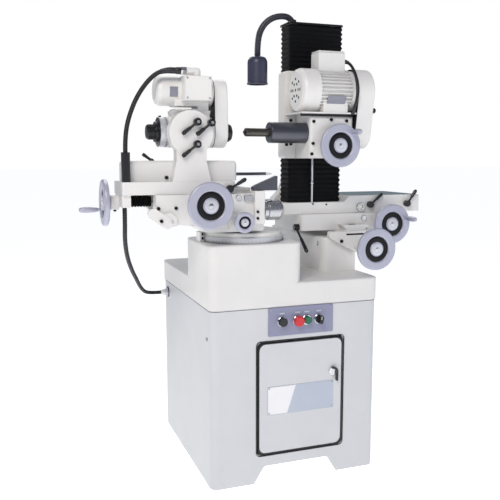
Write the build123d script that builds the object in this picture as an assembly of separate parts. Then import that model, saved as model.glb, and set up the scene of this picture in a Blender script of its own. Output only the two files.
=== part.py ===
from build123d import *
import math
import os

# Universal tool and cutter grinder on a sheet cabinet, in millimetres.
# X runs to the right, Y to the back and Z up; zero is the centre of the cabinet's footprint on the floor.

# Fits and gaps
SLIDE_GAP = 0.3
RUN_GAP = 0.05
FACE_GAP = 0.4
BACKLASH = 0.5

# Cabinet of folded sheet
CABINET_WIDTH = 600.0
CABINET_DEPTH = 655.0
CABINET_HEIGHT = 600.0
CABINET_CORNER = 25.0
SHEET = 3.0
TOP_FLANGE = 32.0
FLOOR_PAN = 70.0
TOE_WIDTH = 306.0
TOE_TOP_WIDTH = 232.0
TOE_HEIGHT = 58.0
FOOT_WIDTH = 90.0
FOOT_THICK = 10.0
ANCHOR_INSET = 50.0
ANCHOR_HOLE = 7.0

# Door, its hinges and its latch
DOOR_WIDTH = 306.0
DOOR_BOTTOM = 101.0
DOOR_TOP_DOWN = 119.0
DOOR_HEIGHT = CABINET_HEIGHT - DOOR_TOP_DOWN - DOOR_BOTTOM
DOOR_DEPTH = 18.0
DOOR_OFFSET = 15.0
DOOR_CORNER = 12.0
DOOR_PROUD = 2.0
DOOR_SKIN = 2.0
DOOR_GAP = 5.0
DOOR_FLANGE = 14.0
HINGE_IN = 8.0
HINGE_PIN = 2.5
HINGE_GRIP = 12.0
HINGE_BOSS = 30.0
LATCH_IN = 36.0
LATCH_UP = 262.0
LATCH_RADIUS = 9.0
LATCH_CAM = 46.0

# Control panel and its four controls
PANEL_WIDTH = 234.0
PANEL_HEIGHT = 95.0
PANEL_THICK = 3.0
PANEL_OFFSET = 13.0
PANEL_DOWN = 49.0
BEZEL_RADIUS = 15.0
BEZEL_HEIGHT = 5.0
STEM_RADIUS = 11.0
STEM_LENGTH = 30.0
BUTTON_STROKE = 4.0
BUTTON_SPOTS = {"black_button": -56.0, "emergency_stop": 0.0, "start_button": 33.0, "selector_knob": 77.0}
MUSHROOM_RADIUS = 18.0

# Cast bed with two pedestals
BED_OVERHANG = 4.0
BED_WALL = 14.0
DECK_HEIGHT = 79.0
LEFT_PEDESTAL_RIGHT = 16.0
LEFT_PEDESTAL_BACK = -45.0
LEFT_PEDESTAL_HEIGHT = 211.0
RIGHT_PEDESTAL_LEFT = 161.0
RIGHT_PEDESTAL_FRONT = -180.0
RIGHT_PEDESTAL_HEIGHT = 203.0
CAST_EDGE = 6.0

# Swivel under the left unit, with the cross way on it
SWIVEL_X = -145.0
SWIVEL_Y = -185.0
SWIVEL_RADIUS = 140.0
SWIVEL_HEIGHT = 34.0
SWIVEL_BAND = 20.0
SWIVEL_STEP = 6.0
SPIGOT_RADIUS = 30.0
SPIGOT_DEPTH = 18.0
CROSS_X = -192.0
CROSS_HEIGHT = 55.0
CROSS_HALF = 58.0
CROSS_FRONT = -262.0
CROSS_BACK = -95.0
CROSS_SCREW_UP = 39.0
SCREW_RADIUS = 9.0
NUT_LENGTH = 30.0

# Left saddle and table
SADDLE_LEFT = -462.0
SADDLE_RIGHT = -110.0
SADDLE_FRONT = -300.0
SADDLE_BACK = -112.0
SADDLE_HEIGHT = 127.0
SADDLE_WALL = 12.0
SADDLE_WING_DEPTH = 90.0
SADDLE_END_DEPTH = 47.0
SADDLE_LUG = -300.0
SADDLE_NUT_IN = 50.0
POST_WIDTH = 35.0
POST_PROUD = 15.0
POST_PAD = 36.0
POST_UP = 8.0
REST_LENGTH = 84.0
REST_HEIGHT = 48.0
RAIL_MIDDLE = -210.0
RAIL_HALF = 65.0
RAIL_HEIGHT = 18.0
TROUGH_HALF = 42.0
TROUGH_DEPTH = 60.0
TROUGH_RIGHT = -165.0
TABLE_LEFT = -562.0
TABLE_RIGHT = -203.0
TABLE_LOCK_IN = 21.0
TABLE_LOCK_DOWN = 24.0
TABLE_FRONT = -290.0
TABLE_BACK = -130.0
TABLE_HEIGHT = 40.0
BRACKET_THICK = 27.0
BRACKET_DROP = 38.0
END_BOSS_LENGTH = 26.0
END_BOSS_RADIUS = 23.0
END_SCREW_Y = -200.0
END_SCREW_DOWN = 26.0
COVER_HALF = 36.0
COVER_PITCH = 9.0
COVER_DROP = 14.0
COVER_TOP_GAP = 5.0
FEED_X = -307.0
FEED_DOWN = 32.0
FEED_BOSS = 30.0
FEED_BOSS_LENGTH = 34.0
CROSS_PLATE_WIDTH = 80.0
CROSS_PLATE_HEIGHT = 56.0
FEED_MODULE = 3.0
PINION_TEETH = 16
GEAR_WIDTH = 18.0
LEFT_RACK_LENGTH = 156.0
LEFT_RACK_SHIFT = 20.0
STOP_RADIUS = 33.0
STOP_LENGTH = 66.0

# Handwheels
WHEEL_RADIUS = 73.0
WHEEL_RIM = 16.0
WHEEL_RIM_INNER = 44.0
WHEEL_HUB = 25.0
SMALL_WHEEL_RADIUS = 33.0
HANDLE_LENGTH = 66.0
FEED_WHEEL_OUT = 72.0
CROSS_WHEEL_OUT = 40.0
END_WHEEL_OUT = 34.0

# Clamp levers
LEVER_HUB = 12.0
LEVER_HEIGHT = 18.0
LEVER_ARM = 62.0
LOCK_ARM = 125.0
LEVER_STEM = 6.0
LEVER_GRIP = 7.0

# Tilting work head
BLOCK_LEFT = -549.0
BLOCK_RIGHT = -183.0
BLOCK_FRONT = -250.0
BLOCK_BACK = -150.0
BLOCK_HEIGHT = 64.0
REST_ROD_UP = 20.0
REST_ROD_RADIUS = 5.0
REST_ROD_TIP = -43.0
REST_ROD_POINT = 14.0
UPRIGHT_FRONT = -290.0
UPRIGHT_NECK = 96.0
PIVOT_X = -345.0
PIVOT_UP = 561.0
DISC_RADIUS = 70.0
PIVOT_RADIUS = 20.0
PIVOT_DEPTH = 14.0
HEAD_Y = -200.0
HEAD_UP = 566.0
BARREL_RADIUS = 49.0
BARREL_LEFT = -403.0
BARREL_RIGHT = -255.0
SPINDLE_RADIUS = 20.0
BEARING_RADIUS = 31.0
BEARING_WIDTH = 16.0
DIAL_RADIUS = 47.0
DIAL_WIDTH = 29.0
KNOB_RADIUS = 23.0
NOSE_RADIUS = 30.0
NOSE_LENGTH = 24.0
HEAD_CENTRES = 128.0
HEAD_MOTOR_UP = HEAD_UP + HEAD_CENTRES
HEAD_MOTOR_RADIUS = 47.0
HEAD_MOTOR_LEFT = -441.0
HEAD_MOTOR_RIGHT = -259.0
HEAD_FOOT = 14.0
HEAD_FOOT_HALF = 38.0
HEAD_SLOT_LEFT = -400.0
HEAD_SLOT_RIGHT = -310.0
HEAD_SLOT_FLOOR = 5.0
HEAD_BOX_LEFT = -363.0
HEAD_BOX_RIGHT = -276.0
HEAD_BOX_DROP = 34.0
HEAD_BOX_RISE = 42.0
ELBOW_X = -318.0
ELBOW_IN = 26.0
ELBOW_RISE = 57.0
ELBOW_RADIUS = 12.0
ELBOW_REACH = 34.0
ELBOW_NUT_RADIUS = 9.0
ELBOW_NUT_REACH = 78.0
GUARD_RIGHT = -211.0
GUARD_WALL = 3.0
GUARD_LOW = 49.0
GUARD_HIGH = 42.0
HEAD_PULLEY = 30.0
HEAD_MOTOR_PULLEY = 22.0
HEAD_SHAFT_RADIUS = 8.0
SHAFT_GRIP = 24.0
BELT_THICK = 6.0
BELT_WIDTH = 14.0
BOX_FRONT = -284.0
CONDUIT_RADIUS = 7.0
SLEEVE_IN = 2.0
SLEEVE_WIDTH = 26.0
SLEEVE_DEPTH = 24.0
SLEEVE_HEIGHT = 90.0
GLAND_RADIUS = 13.0
GLAND_LENGTH = 30.0
GLAND_IN = 68.5
GLAND_Y = CABINET_DEPTH / 2 - GLAND_IN
GLAND_DOWN = 42.0

# Right cross way, saddle and table
RIGHT_X = 294.0
BASE_HALF = 65.0
BASE_PLATE = 22.0
CHANNEL_HALF = 17.0
CHANNEL_LOW = 22.0
BASE_BACK = 230.0
RIGHT_WAY_HALF = 55.0
RIGHT_WAY_HEIGHT = 20.0
RIGHT_SCREW_UP = 175.0
RIGHT_WHEEL_Y = -317.0
SCREW_NECK = 21.0
SCREW_COLLAR = 27.0
BRACKET_LEFT = 115.0
BRACKET_RIGHT = 56.0
BRACKET_LOW = 26.0
RIGHT_SADDLE_LEFT = 95.0
RIGHT_SADDLE_RIGHT = 400.0
RIGHT_SADDLE_FRONT = -140.0
RIGHT_SADDLE_BACK = 120.0
RIGHT_SADDLE_UP = 284.0
RIGHT_RAIL_HALF = 70.0
RIGHT_RAIL_MIDDLE = 10.0
RIGHT_RAIL_HEIGHT = 16.0
LOBE_RIGHT = 482.0
LOBE_BACK = -30.0
LOBE_DROP = 14.0
TRAVERSE_BOSS = 18.0
GEAR_IN = 36.0
GEAR_ROOM = 28.0
LOCK_IN = 24.0
LOCK_UP = 12.0
TRAVERSE_X = 445.0
TRAVERSE_UP = 243.0
TRAVERSE_MODULE = 2.5
RIGHT_TABLE_LEFT = 35.0
RIGHT_TABLE_RIGHT = 596.0
RIGHT_TABLE_FRONT = -120.0
RIGHT_TABLE_BACK = 140.0
RIGHT_TABLE_UP = 325.0
RIGHT_LEVER_SPOTS = (380.0, 538.0)
RIGHT_LEVER_DOWN = 12.0
WING_LEFT = 274.0
WING_HEIGHT = 22.0
RIGHT_RACK_LENGTH = 146.0
RIGHT_RACK_MIDDLE = 418.0

# Column, bellows and lamp
COLUMN_X = 165.0
COLUMN_HALF = 85.0
COLUMN_FRONT = -60.0
COLUMN_BACK = 17.0
COLUMN_SHOULDER_BACK = -17.0
COLUMN_TAPER_UP = 400.0
COLUMN_SHOULDER_UP = 790.0
COLUMN_CORNER = 22.0
COLUMN_POST_BACK = -15.0
COLUMN_UP = 947.0
COLUMN_FOOT = 43.0
COLUMN_FOOT_HEIGHT = 100.0
COLUMN_FOOT_EDGE = 14.0
CAP_THICK = 6.0
COLUMN_WAY_HALF = 62.0
COLUMN_WAY_DEPTH = 25.0
COLUMN_SLOT_HALF = 30.0
COLUMN_SLOT_END = 20.0
LIFT_SCREW_Y = -46.0
LIFT_SCREW_RADIUS = 9.0
LIFT_NUT_HALF = 23.0
LIFT_NUT_BACK = 16.0
LIFT_NUT_LENGTH = 46.0
BELLOWS_HALF = 105.0
BELLOWS_FRONT = -99.0
BELLOWS_BACK = -25.0
PLEAT_PITCH = 17.0
PLEAT_DEPTH = 5.0
STOP_ROD_X = 150.0
STOP_ROD_Y = -107.0
STOP_ROD_RADIUS = 4.0
STOP_ROD_UP = 510.0
STOP_ROD_BEAD = 6.4
STOP_ROD_BEAD_UP = 70.0
LAMP_ARM_RADIUS = 11.0
LAMP_ARM_LEFT = 68.0
LAMP_FERRULE = 14.0
LAMP_X = -65.0
LAMP_Y = -120.0
LAMP_UP = 827.0
LAMP_HEIGHT = 94.0
LAMP_RADIUS = 34.0
LAMP_RIM = 36.0
LAMP_WALL = 2.5
LAMP_CROWN = 26.0
BULB_RADIUS = 18.0
SOCKET_RADIUS = 11.0

# Wheelhead
CARRIAGE_LEFT = 36.0
CARRIAGE_RIGHT = 275.0
CARRIAGE_FRONT = -118.0
CARRIAGE_BACK = -64.0
CARRIAGE_UP = 483.0
CARRIAGE_HEIGHT = 301.0
HOUSING_LEFT = 80.0
HOUSING_RIGHT = 243.0
HOUSING_FRONT = -240.0
HOUSING_HEIGHT = 140.0
WHEEL_Y = -195.0
WHEEL_UP = 569.0
QUILL_LEFT = -53.0
QUILL_RIGHT = 150.0
QUILL_RADIUS = 35.0
ARBOR_LEFT = -137.0
ARBOR_RADIUS = 14.0
SHAFT_RADIUS = 12.0
WHEEL_BEARING_RADIUS = 24.0
MOTOR_UP = 711.0
MOTOR_LEFT = 44.0
MOTOR_RIGHT = 246.0
MOTOR_RADIUS = 73.0
FAN_COVER = 66.0
MOTOR_SHIELD = 20.0
MOTOR_BOX_LEFT = 115.0
MOTOR_BOX_RIGHT = 213.0
MOTOR_BOX_HALF = 30.0
MOTOR_BOX_RISE = 127.0
MOTOR_SEAT = 2.0
FIN_DEPTH = 9.0
FIN_COUNT = 36
FIN_THICK = 3.0
MOTOR_FOOT_OUT = 42.0
MOTOR_FOOT_HALF = 16.0
FOOT_PLATE = 14.0
FOOT_LIP = 5.0
FOOT_LEFT = 41.0
FOOT_RIGHT = 245.0
FOOT_REACH = 62.0
FOOT_SLOT = 24.0
WHEEL_GUARD_RIGHT = 308.0
WHEEL_GUARD_LOW = 52.0
WHEEL_GUARD_HIGH = 76.0
WHEEL_PULLEY = 34.0
WHEEL_MOTOR_PULLEY = 58.0
LIFT_X = 178.0
LIFT_UP = 526.0
LIFT_WHEEL_OUT = 22.0
CABLE_RADIUS = 5.0

# Levels and places that follow from the sizes
front = -CABINET_DEPTH / 2
door_left = DOOR_OFFSET - DOOR_WIDTH / 2
door_right = DOOR_OFFSET + DOOR_WIDTH / 2
door_middle = DOOR_BOTTOM + DOOR_HEIGHT / 2
door_face = front - DOOR_PROUD
hinge_x = door_left + HINGE_IN
hinge_y = front + DOOR_DEPTH / 3
latch_x = door_right - LATCH_IN
latch_z = DOOR_BOTTOM + LATCH_UP
bed_left = -CABINET_WIDTH / 2 - BED_OVERHANG
bed_front = front - BED_OVERHANG
deck_top = CABINET_HEIGHT + DECK_HEIGHT
left_pedestal_top = CABINET_HEIGHT + LEFT_PEDESTAL_HEIGHT
right_pedestal_top = CABINET_HEIGHT + RIGHT_PEDESTAL_HEIGHT
swivel_bottom = left_pedestal_top + SLIDE_GAP
swivel_top = left_pedestal_top + SWIVEL_HEIGHT
cross_screw_z = swivel_top + CROSS_SCREW_UP
saddle_top = swivel_top + SADDLE_HEIGHT
table_bottom = saddle_top + FACE_GAP
table_top = saddle_top + TABLE_HEIGHT
end_screw_z = saddle_top - END_SCREW_DOWN
feed_z = saddle_top - FEED_DOWN
gear_back = RAIL_MIDDLE - TROUGH_HALF + GEAR_WIDTH + 4
base_top = right_pedestal_top + BASE_PLATE
right_saddle_bottom = base_top + FACE_GAP
guard_middle = (BARREL_RIGHT + GUARD_RIGHT) / 2
traverse_gear_end = RIGHT_SADDLE_FRONT + GEAR_IN + GEAR_WIDTH + 5
wheel_guard_middle = (MOTOR_RIGHT + WHEEL_GUARD_RIGHT) / 2
panel_middle = CABINET_HEIGHT - PANEL_DOWN
gland_z = CABINET_HEIGHT - GLAND_DOWN
right_screw_z = CABINET_HEIGHT + RIGHT_SCREW_UP
right_saddle_top = CABINET_HEIGHT + RIGHT_SADDLE_UP
right_table_bottom = right_saddle_top + FACE_GAP
right_table_top = CABINET_HEIGHT + RIGHT_TABLE_UP
traverse_z = CABINET_HEIGHT + TRAVERSE_UP
pivot_z = CABINET_HEIGHT + PIVOT_UP
head_z = CABINET_HEIGHT + HEAD_UP
head_motor_z = CABINET_HEIGHT + HEAD_MOTOR_UP
head_foot_z = head_motor_z - HEAD_MOTOR_RADIUS - HEAD_FOOT
column_top = CABINET_HEIGHT + COLUMN_UP
column_taper = CABINET_HEIGHT + COLUMN_TAPER_UP
column_shoulder = CABINET_HEIGHT + COLUMN_SHOULDER_UP
stop_rod_top = CABINET_HEIGHT + STOP_ROD_UP
lamp_top = CABINET_HEIGHT + LAMP_UP
carriage_bottom = CABINET_HEIGHT + CARRIAGE_UP
carriage_top = carriage_bottom + CARRIAGE_HEIGHT
housing_top = carriage_bottom + HOUSING_HEIGHT
foot_top = housing_top + FOOT_PLATE
wheel_z = CABINET_HEIGHT + WHEEL_UP
motor_z = CABINET_HEIGHT + MOTOR_UP
box_seat = motor_z + MOTOR_RADIUS + MOTOR_SEAT
lift_z = CABINET_HEIGHT + LIFT_UP


def block(x, y, z):
    """Box between two limits on each axis."""
    box = Box(x[1] - x[0], y[1] - y[0], z[1] - z[0])
    return Pos((x[0] + x[1]) / 2, (y[0] + y[1]) / 2, (z[0] + z[1]) / 2) * box


def rod_x(x, y, z, radius):
    """Round bar along X between two limits."""
    return Pos((x[0] + x[1]) / 2, y, z) * Rot(0, 90, 0) * Cylinder(radius, x[1] - x[0])


def rod_y(x, y, z, radius):
    """Round bar along Y between two limits."""
    return Pos(x, (y[0] + y[1]) / 2, z) * Rot(90, 0, 0) * Cylinder(radius, y[1] - y[0])


def rod_z(x, y, z, radius):
    """Round bar along Z between two limits."""
    return Pos(x, y, (z[0] + z[1]) / 2) * Cylinder(radius, z[1] - z[0])


def along_x(outline, x):
    """Outline drawn in Y and Z, made solid between two limits on X."""
    placed = Plane((x[0], 0, 0), x_dir=(0, 1, 0), z_dir=(1, 0, 0)) * outline
    return extrude(placed, x[1] - x[0], dir=(1, 0, 0))


def along_y(outline, y):
    """Outline drawn in X and Z, made solid between two limits on Y."""
    placed = Plane((0, y[1], 0), x_dir=(1, 0, 0), z_dir=(0, -1, 0)) * outline
    return extrude(placed, y[1] - y[0], dir=(0, -1, 0))


def along_z(outline, z):
    """Outline drawn in X and Y, made solid between two limits on Z."""
    return extrude(Plane((0, 0, z[0])) * outline, z[1] - z[0], dir=(0, 0, 1))


def facing_front(x, y, z):
    """Plane whose normal points to the front."""
    return Plane((x, y, z), x_dir=(1, 0, 0), z_dir=(0, -1, 0))


def facing_left(x, y, z):
    """Plane whose normal points to the left."""
    return Plane((x, y, z), x_dir=(0, -1, 0), z_dir=(-1, 0, 0))


def facing_right(x, y, z):
    """Plane whose normal points to the right."""
    return Plane((x, y, z), x_dir=(0, 1, 0), z_dir=(1, 0, 0))


def turned(points):
    """Solid of revolution about Z from points of radius and height."""
    return revolve(Plane.XZ * make_face(Polyline(*points, close=True)), Axis.Z)


def rounded(x, y, radius):
    """Rounded rectangle between two limits on X and Y."""
    shape = RectangleRounded(x[1] - x[0], y[1] - y[0], radius)
    return Pos((x[0] + x[1]) / 2, (y[0] + y[1]) / 2) * shape


def teardrop(low, low_radius, high, high_radius):
    """Outline round two circles and the lines that touch both."""
    circles = Sketch() + [Pos(*low) * Circle(low_radius), Pos(*high) * Circle(high_radius)]
    return make_hull(circles.edges())


def soften_top(solid, radius):
    """Round the edges of the top face."""
    return fillet(solid.edges().group_by(Axis.Z)[-1], radius)


def bend_radii(points):
    """Largest even bend at each inner point of a cord."""
    radii = []
    for before, at, after in zip(points, points[1:], points[2:]):
        run_in = Vector(*at) - Vector(*before)
        run_out = Vector(*after) - Vector(*at)
        half_turn = math.radians(run_in.get_angle(run_out)) / 2
        radii.append(0.45 * min(run_in.length, run_out.length) / math.tan(half_turn))
    return radii


def cord(points, radius):
    """Round cord along straight runs joined by arcs."""
    path = FilletPolyline(*points, radius=bend_radii(points))
    return sweep(Plane(path @ 0, z_dir=path % 0) * Circle(radius), path)


# Pieces that repeat

def handwheel(radius, rim_inner, hub, shaft_radius, shaft_length, handle_angle=None):
    """Dished handwheel on Z with its rim's back at zero and its shaft below."""
    rim_width = radius - rim_inner
    rim_round = min(WHEEL_RIM, rim_width) * 0.35
    rim = revolve(
        Plane.XZ * Pos(rim_inner + rim_width / 2, WHEEL_RIM / 2) * RectangleRounded(
            rim_width, WHEEL_RIM, rim_round,
        ),
        Axis.Z,
    )
    web = Pos(0, 0, WHEEL_RIM * 0.35) * Cylinder(rim_inner + rim_round, WHEEL_RIM * 0.4)
    hub_top = WHEEL_RIM * 0.9
    boss = turned(
        [
            (0, -WHEEL_RIM / 2), (hub * 0.8, -WHEEL_RIM / 2), (hub, 0), (hub, hub_top - 2),
            (hub - 2, hub_top), (0, hub_top),
        ]
    )
    shaft = Pos(0, 0, -shaft_length / 2) * Cylinder(shaft_radius, shaft_length)
    wheel = rim + web + boss + shaft
    if handle_angle is not None:
        reach = rim_inner + rim_width / 2
        spot = Rot(0, 0, handle_angle) * Pos(reach, 0, WHEEL_RIM - 1)
        wheel = wheel + spot * handle()
    return wheel


def handle():
    """Tapered crank handle on Z."""
    length = HANDLE_LENGTH
    pin = Polyline((0, 0), (5, 0), (5, length * 0.1), (6.5, length * 0.12))
    swell = Spline((6.5, length * 0.12), (9.5, length * 0.6), (8, length * 0.92))
    tip = Polyline((8, length * 0.92), (5, length), (0, length), (0, 0))
    return revolve(Plane.XZ * make_face([pin, swell, tip]), Axis.Z)


def clamp_lever(arm_length, arm_angle):
    """Clamping lever on Z with a stem below, its arm turned from X by an angle."""
    hub = turned(
        [
            (0, 0), (LEVER_HUB, 0), (LEVER_HUB, LEVER_HEIGHT - 3), (LEVER_HUB - 3, LEVER_HEIGHT),
            (0, LEVER_HEIGHT),
        ]
    )
    stem = Pos(0, 0, -LEVER_STEM) * Cylinder(LEVER_STEM, LEVER_STEM * 2)
    grip_start = arm_length * 0.45
    grip = revolve(
        Plane.XZ * make_face(Polyline(
            (0, 0), (LEVER_GRIP * 0.6, 0), (LEVER_GRIP * 0.6, grip_start), (LEVER_GRIP * 0.8, grip_start + 3),
            (LEVER_GRIP, arm_length - 6), (LEVER_GRIP * 0.6, arm_length), (0, arm_length), close=True,
        )),
        Axis.Z,
    )
    arm = Pos(0, 0, LEVER_HEIGHT * 0.55) * Rot(0, 90, 0) * grip
    return Rot(0, 0, arm_angle) * (hub + stem + arm)


def lever_hole_y(x, y, z):
    """Blind hole for a lever's stem in a front face."""
    return rod_y(x, (y, y + LEVER_STEM * 2 + 1), z, LEVER_STEM + RUN_GAP)


def gear_tooth(module, root_half):
    """Straight-flanked tooth, root at the pitch line's lower side, pointing along +Y."""
    pitch_half = module * math.pi / 4 - BACKLASH / 2
    slope = math.tan(math.radians(20))
    tip_half = pitch_half - module * slope
    foot_half = pitch_half + module * 1.25 * slope * root_half
    low = -module * 1.25
    return Polygon(
        (-foot_half, low - 0.6), (-foot_half, low), (-tip_half, module), (tip_half, module),
        (foot_half, low), (foot_half, low - 0.6), align=None,
    )


def pinion(module):
    """Spur pinion on Z with a tooth space on +Y."""
    pitch_radius = module * PINION_TEETH / 2
    outline = Sketch() + Circle(pitch_radius - module * 1.25)
    tooth = Pos(0, pitch_radius) * gear_tooth(module, 0.3)
    for number in range(PINION_TEETH):
        outline = outline + Rot(0, 0, (number + 0.5) * 360 / PINION_TEETH) * tooth
    return along_z(outline, (0, GEAR_WIDTH))


def rack(module, middle, length, pitch_z, tooth_x, top_z, y):
    """Rack along X with its teeth down and one tooth centred on tooth_x."""
    pitch = module * math.pi
    outline = Sketch() + Pos(middle, (pitch_z + module * 1.25 + top_z) / 2) * Rectangle(
        length, top_z - pitch_z - module * 1.25,
    )
    first = math.ceil((middle - length / 2 + pitch / 2 - tooth_x) / pitch)
    last = math.floor((middle + length / 2 - pitch / 2 - tooth_x) / pitch)
    for number in range(first, last + 1):
        outline = outline + Pos(tooth_x + number * pitch, pitch_z) * Rot(0, 0, 180) * gear_tooth(module, 1)
    return along_y(outline, y)


def dovetail(half, neck_share, height):
    """Dovetail outline standing on zero, half wide at its top."""
    neck = half * neck_share
    knee = height * 0.35
    return Polygon(
        (-neck, 0), (-neck, knee), (-half, height), (half, height), (neck, knee), (neck, 0), align=None,
    )


def dovetail_slot(half, neck_share, height):
    """Outline of the slot that runs on a dovetail of the same sizes."""
    wide = half + SLIDE_GAP * 2
    neck = half * neck_share + SLIDE_GAP * 2
    knee = height * 0.35
    top = height + SLIDE_GAP
    return Polygon(
        (-neck, -1), (-neck, knee), (-wide, height), (-wide, top), (wide, top), (
            wide, height,
        ), (neck, knee), (neck, -1), align=None,
    )


def pulley(groove_radius, width):
    """Flat-bottomed belt pulley on Z, centred on zero."""
    flange = groove_radius + BELT_THICK * 0.7
    half = width / 2
    inner = half - 3
    return turned(
        [
            (0, -half), (flange, -half), (flange, -inner), (groove_radius, -inner), (groove_radius, inner),
            (flange, inner), (flange, half), (0, half),
        ]
    )


def belt(low, low_radius, high, high_radius, middle):
    """Belt round two pulleys whose axes run along X."""
    outer = teardrop(low, low_radius + BELT_THICK, high, high_radius + BELT_THICK)
    inner = teardrop(low, low_radius + SLIDE_GAP, high, high_radius + SLIDE_GAP)
    return along_x(outer - inner, (middle - BELT_WIDTH / 2, middle + BELT_WIDTH / 2))


def belt_guard(low, low_radius, high, high_radius, x, low_hole, high_hole):
    """Closed belt guard between two limits on X, open for the two shafts."""
    outer = along_x(teardrop(low, low_radius, high, high_radius), x)
    outer = fillet(outer.edges().group_by(Axis.X)[-1], GUARD_WALL * 2)
    inner = along_x(
        teardrop(low, low_radius - GUARD_WALL, high, high_radius - GUARD_WALL), (
            x[0] + GUARD_WALL, x[1] - GUARD_WALL,
        )
    )
    entry_low = rod_x((x[0] - 1, x[0] + GUARD_WALL + 1), low[0], low[1], low_hole)
    entry_high = rod_x((x[0] - 1, x[0] + GUARD_WALL + 1), high[0], high[1], high_hole)
    return outer - inner - entry_low - entry_high


def zigzag(half, length, pleat_pitch):
    """Pleated outline along Y from zero to length, folding in by the pleat depth."""
    count = max(2, round(length / pleat_pitch))
    pitch = length / count
    right = []
    for number in range(count):
        right.append((half - PLEAT_DEPTH, number * pitch))
        right.append((half, (number + 0.5) * pitch))
    right.append((half - PLEAT_DEPTH, length))
    left = [(-x, y) for x, y in reversed(right)]
    return Polygon(*right, *left, align=None)


# Stand

def cabinet():
    """Folded sheet cabinet with door opening, toe opening and foot plates."""
    outline = RectangleRounded(CABINET_WIDTH, CABINET_DEPTH, CABINET_CORNER)
    inside = RectangleRounded(CABINET_WIDTH - 2 * SHEET, CABINET_DEPTH - 2 * SHEET, CABINET_CORNER - SHEET)
    mouth = RectangleRounded(CABINET_WIDTH - 2 * TOP_FLANGE, CABINET_DEPTH - 2 * TOP_FLANGE, SHEET)
    shell = along_z(outline - inside, (0, CABINET_HEIGHT))
    top = along_z(outline - mouth, (CABINET_HEIGHT - SHEET, CABINET_HEIGHT))
    pan = along_z(inside, (FLOOR_PAN, FLOOR_PAN + SHEET))
    body = shell + top + pan
    foot = Box(FOOT_WIDTH, FOOT_WIDTH, FOOT_THICK) - Cylinder(ANCHOR_HOLE, FOOT_THICK)
    rows = GridLocations(CABINET_WIDTH - 2 * ANCHOR_INSET, CABINET_DEPTH - 2 * ANCHOR_INSET, 2, 2)
    feet = Part() + [Pos(0, 0, FOOT_THICK / 2) * spot * foot for spot in rows]
    body = body + (feet & along_z(outline, (0, FOOT_THICK)))
    wall = (front - 1, front + SHEET + 1)
    low, high = TOE_WIDTH / 2, TOE_TOP_WIDTH / 2
    toe = Polygon((-low, -1), (-high, TOE_HEIGHT), (high, TOE_HEIGHT), (low, -1), align=None)
    toe = fillet(toe.vertices().group_by(Axis.Y)[-1], TOE_HEIGHT / 4)
    body = body - along_y(toe, wall)
    opening = RectangleRounded(DOOR_WIDTH + 2 * DOOR_GAP, DOOR_HEIGHT + 2 * DOOR_GAP, DOOR_CORNER + DOOR_GAP)
    opening = Pos(DOOR_OFFSET, door_middle) * opening
    rim = offset(opening, SHEET)
    body = body - along_y(opening, wall) + along_y(rim - opening, (front + SHEET / 2, front + DOOR_FLANGE))
    controls = Pos(PANEL_OFFSET, panel_middle) * Rectangle(PANEL_WIDTH * 0.85, PANEL_HEIGHT * 0.6)
    body = body - along_y(controls, wall)
    side = (-CABINET_WIDTH / 2 - 1, -CABINET_WIDTH / 2 + SHEET + 1)
    return body - rod_x(side, GLAND_Y, gland_z, CONDUIT_RADIUS + 2) + hinge_pins()


def hinge_pins():
    """Two pins through the top and bottom of the door opening's flange."""
    upper = DOOR_BOTTOM + DOOR_HEIGHT
    top = rod_z(hinge_x, hinge_y, (upper - HINGE_GRIP, upper + DOOR_GAP + SHEET + 2), HINGE_PIN)
    low = rod_z(hinge_x, hinge_y, (DOOR_BOTTOM - DOOR_GAP - SHEET - 2, DOOR_BOTTOM + HINGE_GRIP), HINGE_PIN)
    return Part() + [top, low]


def cabinet_door():
    """Pressed door pan with hinge bosses and a latch hole."""
    outline = Pos(DOOR_OFFSET, door_middle) * RectangleRounded(DOOR_WIDTH, DOOR_HEIGHT, DOOR_CORNER)
    pan = along_y(outline, (door_face, door_face + DOOR_DEPTH))
    pan = fillet(pan.edges().group_by(Axis.Y)[0], DOOR_SKIN * 1.5)
    hollow = along_y(offset(outline, -DOOR_SKIN), (door_face + DOOR_SKIN, door_face + DOOR_DEPTH + 1))
    door = pan - hollow
    boss_x = (door_left + DOOR_SKIN / 2, hinge_x + HINGE_PIN + 4)
    boss_y = (door_face + DOOR_SKIN / 2, door_face + DOOR_DEPTH)
    door_top = DOOR_BOTTOM + DOOR_HEIGHT
    door = door + block(boss_x, boss_y, (DOOR_BOTTOM + DOOR_CORNER, DOOR_BOTTOM + HINGE_BOSS))
    door = door + block(boss_x, boss_y, (door_top - HINGE_BOSS, door_top - DOOR_CORNER))
    door = door & pan
    pins = rod_z(hinge_x, hinge_y, (DOOR_BOTTOM - 1, DOOR_BOTTOM + HINGE_GRIP + 1), HINGE_PIN + RUN_GAP)
    pins = pins + rod_z(hinge_x, hinge_y, (door_top - HINGE_GRIP - 1, door_top + 1), HINGE_PIN + RUN_GAP)
    return door - pins - rod_y(
        latch_x, (door_face - 1, door_face + DOOR_SKIN + 1), latch_z, LATCH_RADIUS + RUN_GAP,
    )


def door_latch():
    """Quarter-turn latch: head with a key slot, stem and cam."""
    head = rod_y(latch_x, (door_face - 4, door_face - FACE_GAP), latch_z, LATCH_RADIUS + 5)
    head = head - block(
        (latch_x - 2, latch_x + 2), (door_face - 5, door_face - 2.5), (latch_z - 8, latch_z + 8),
    )
    cam_back = door_face + DOOR_DEPTH + FACE_GAP + SHEET
    stem = rod_y(latch_x, (door_face - 2, cam_back), latch_z, LATCH_RADIUS)
    cam = Pos(latch_x, latch_z + LATCH_CAM / 2 - LATCH_RADIUS) * SlotOverall(
        LATCH_CAM, LATCH_RADIUS * 2, rotation=90,
    )
    return head + stem + along_y(cam, (cam_back - SHEET, cam_back))


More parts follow.
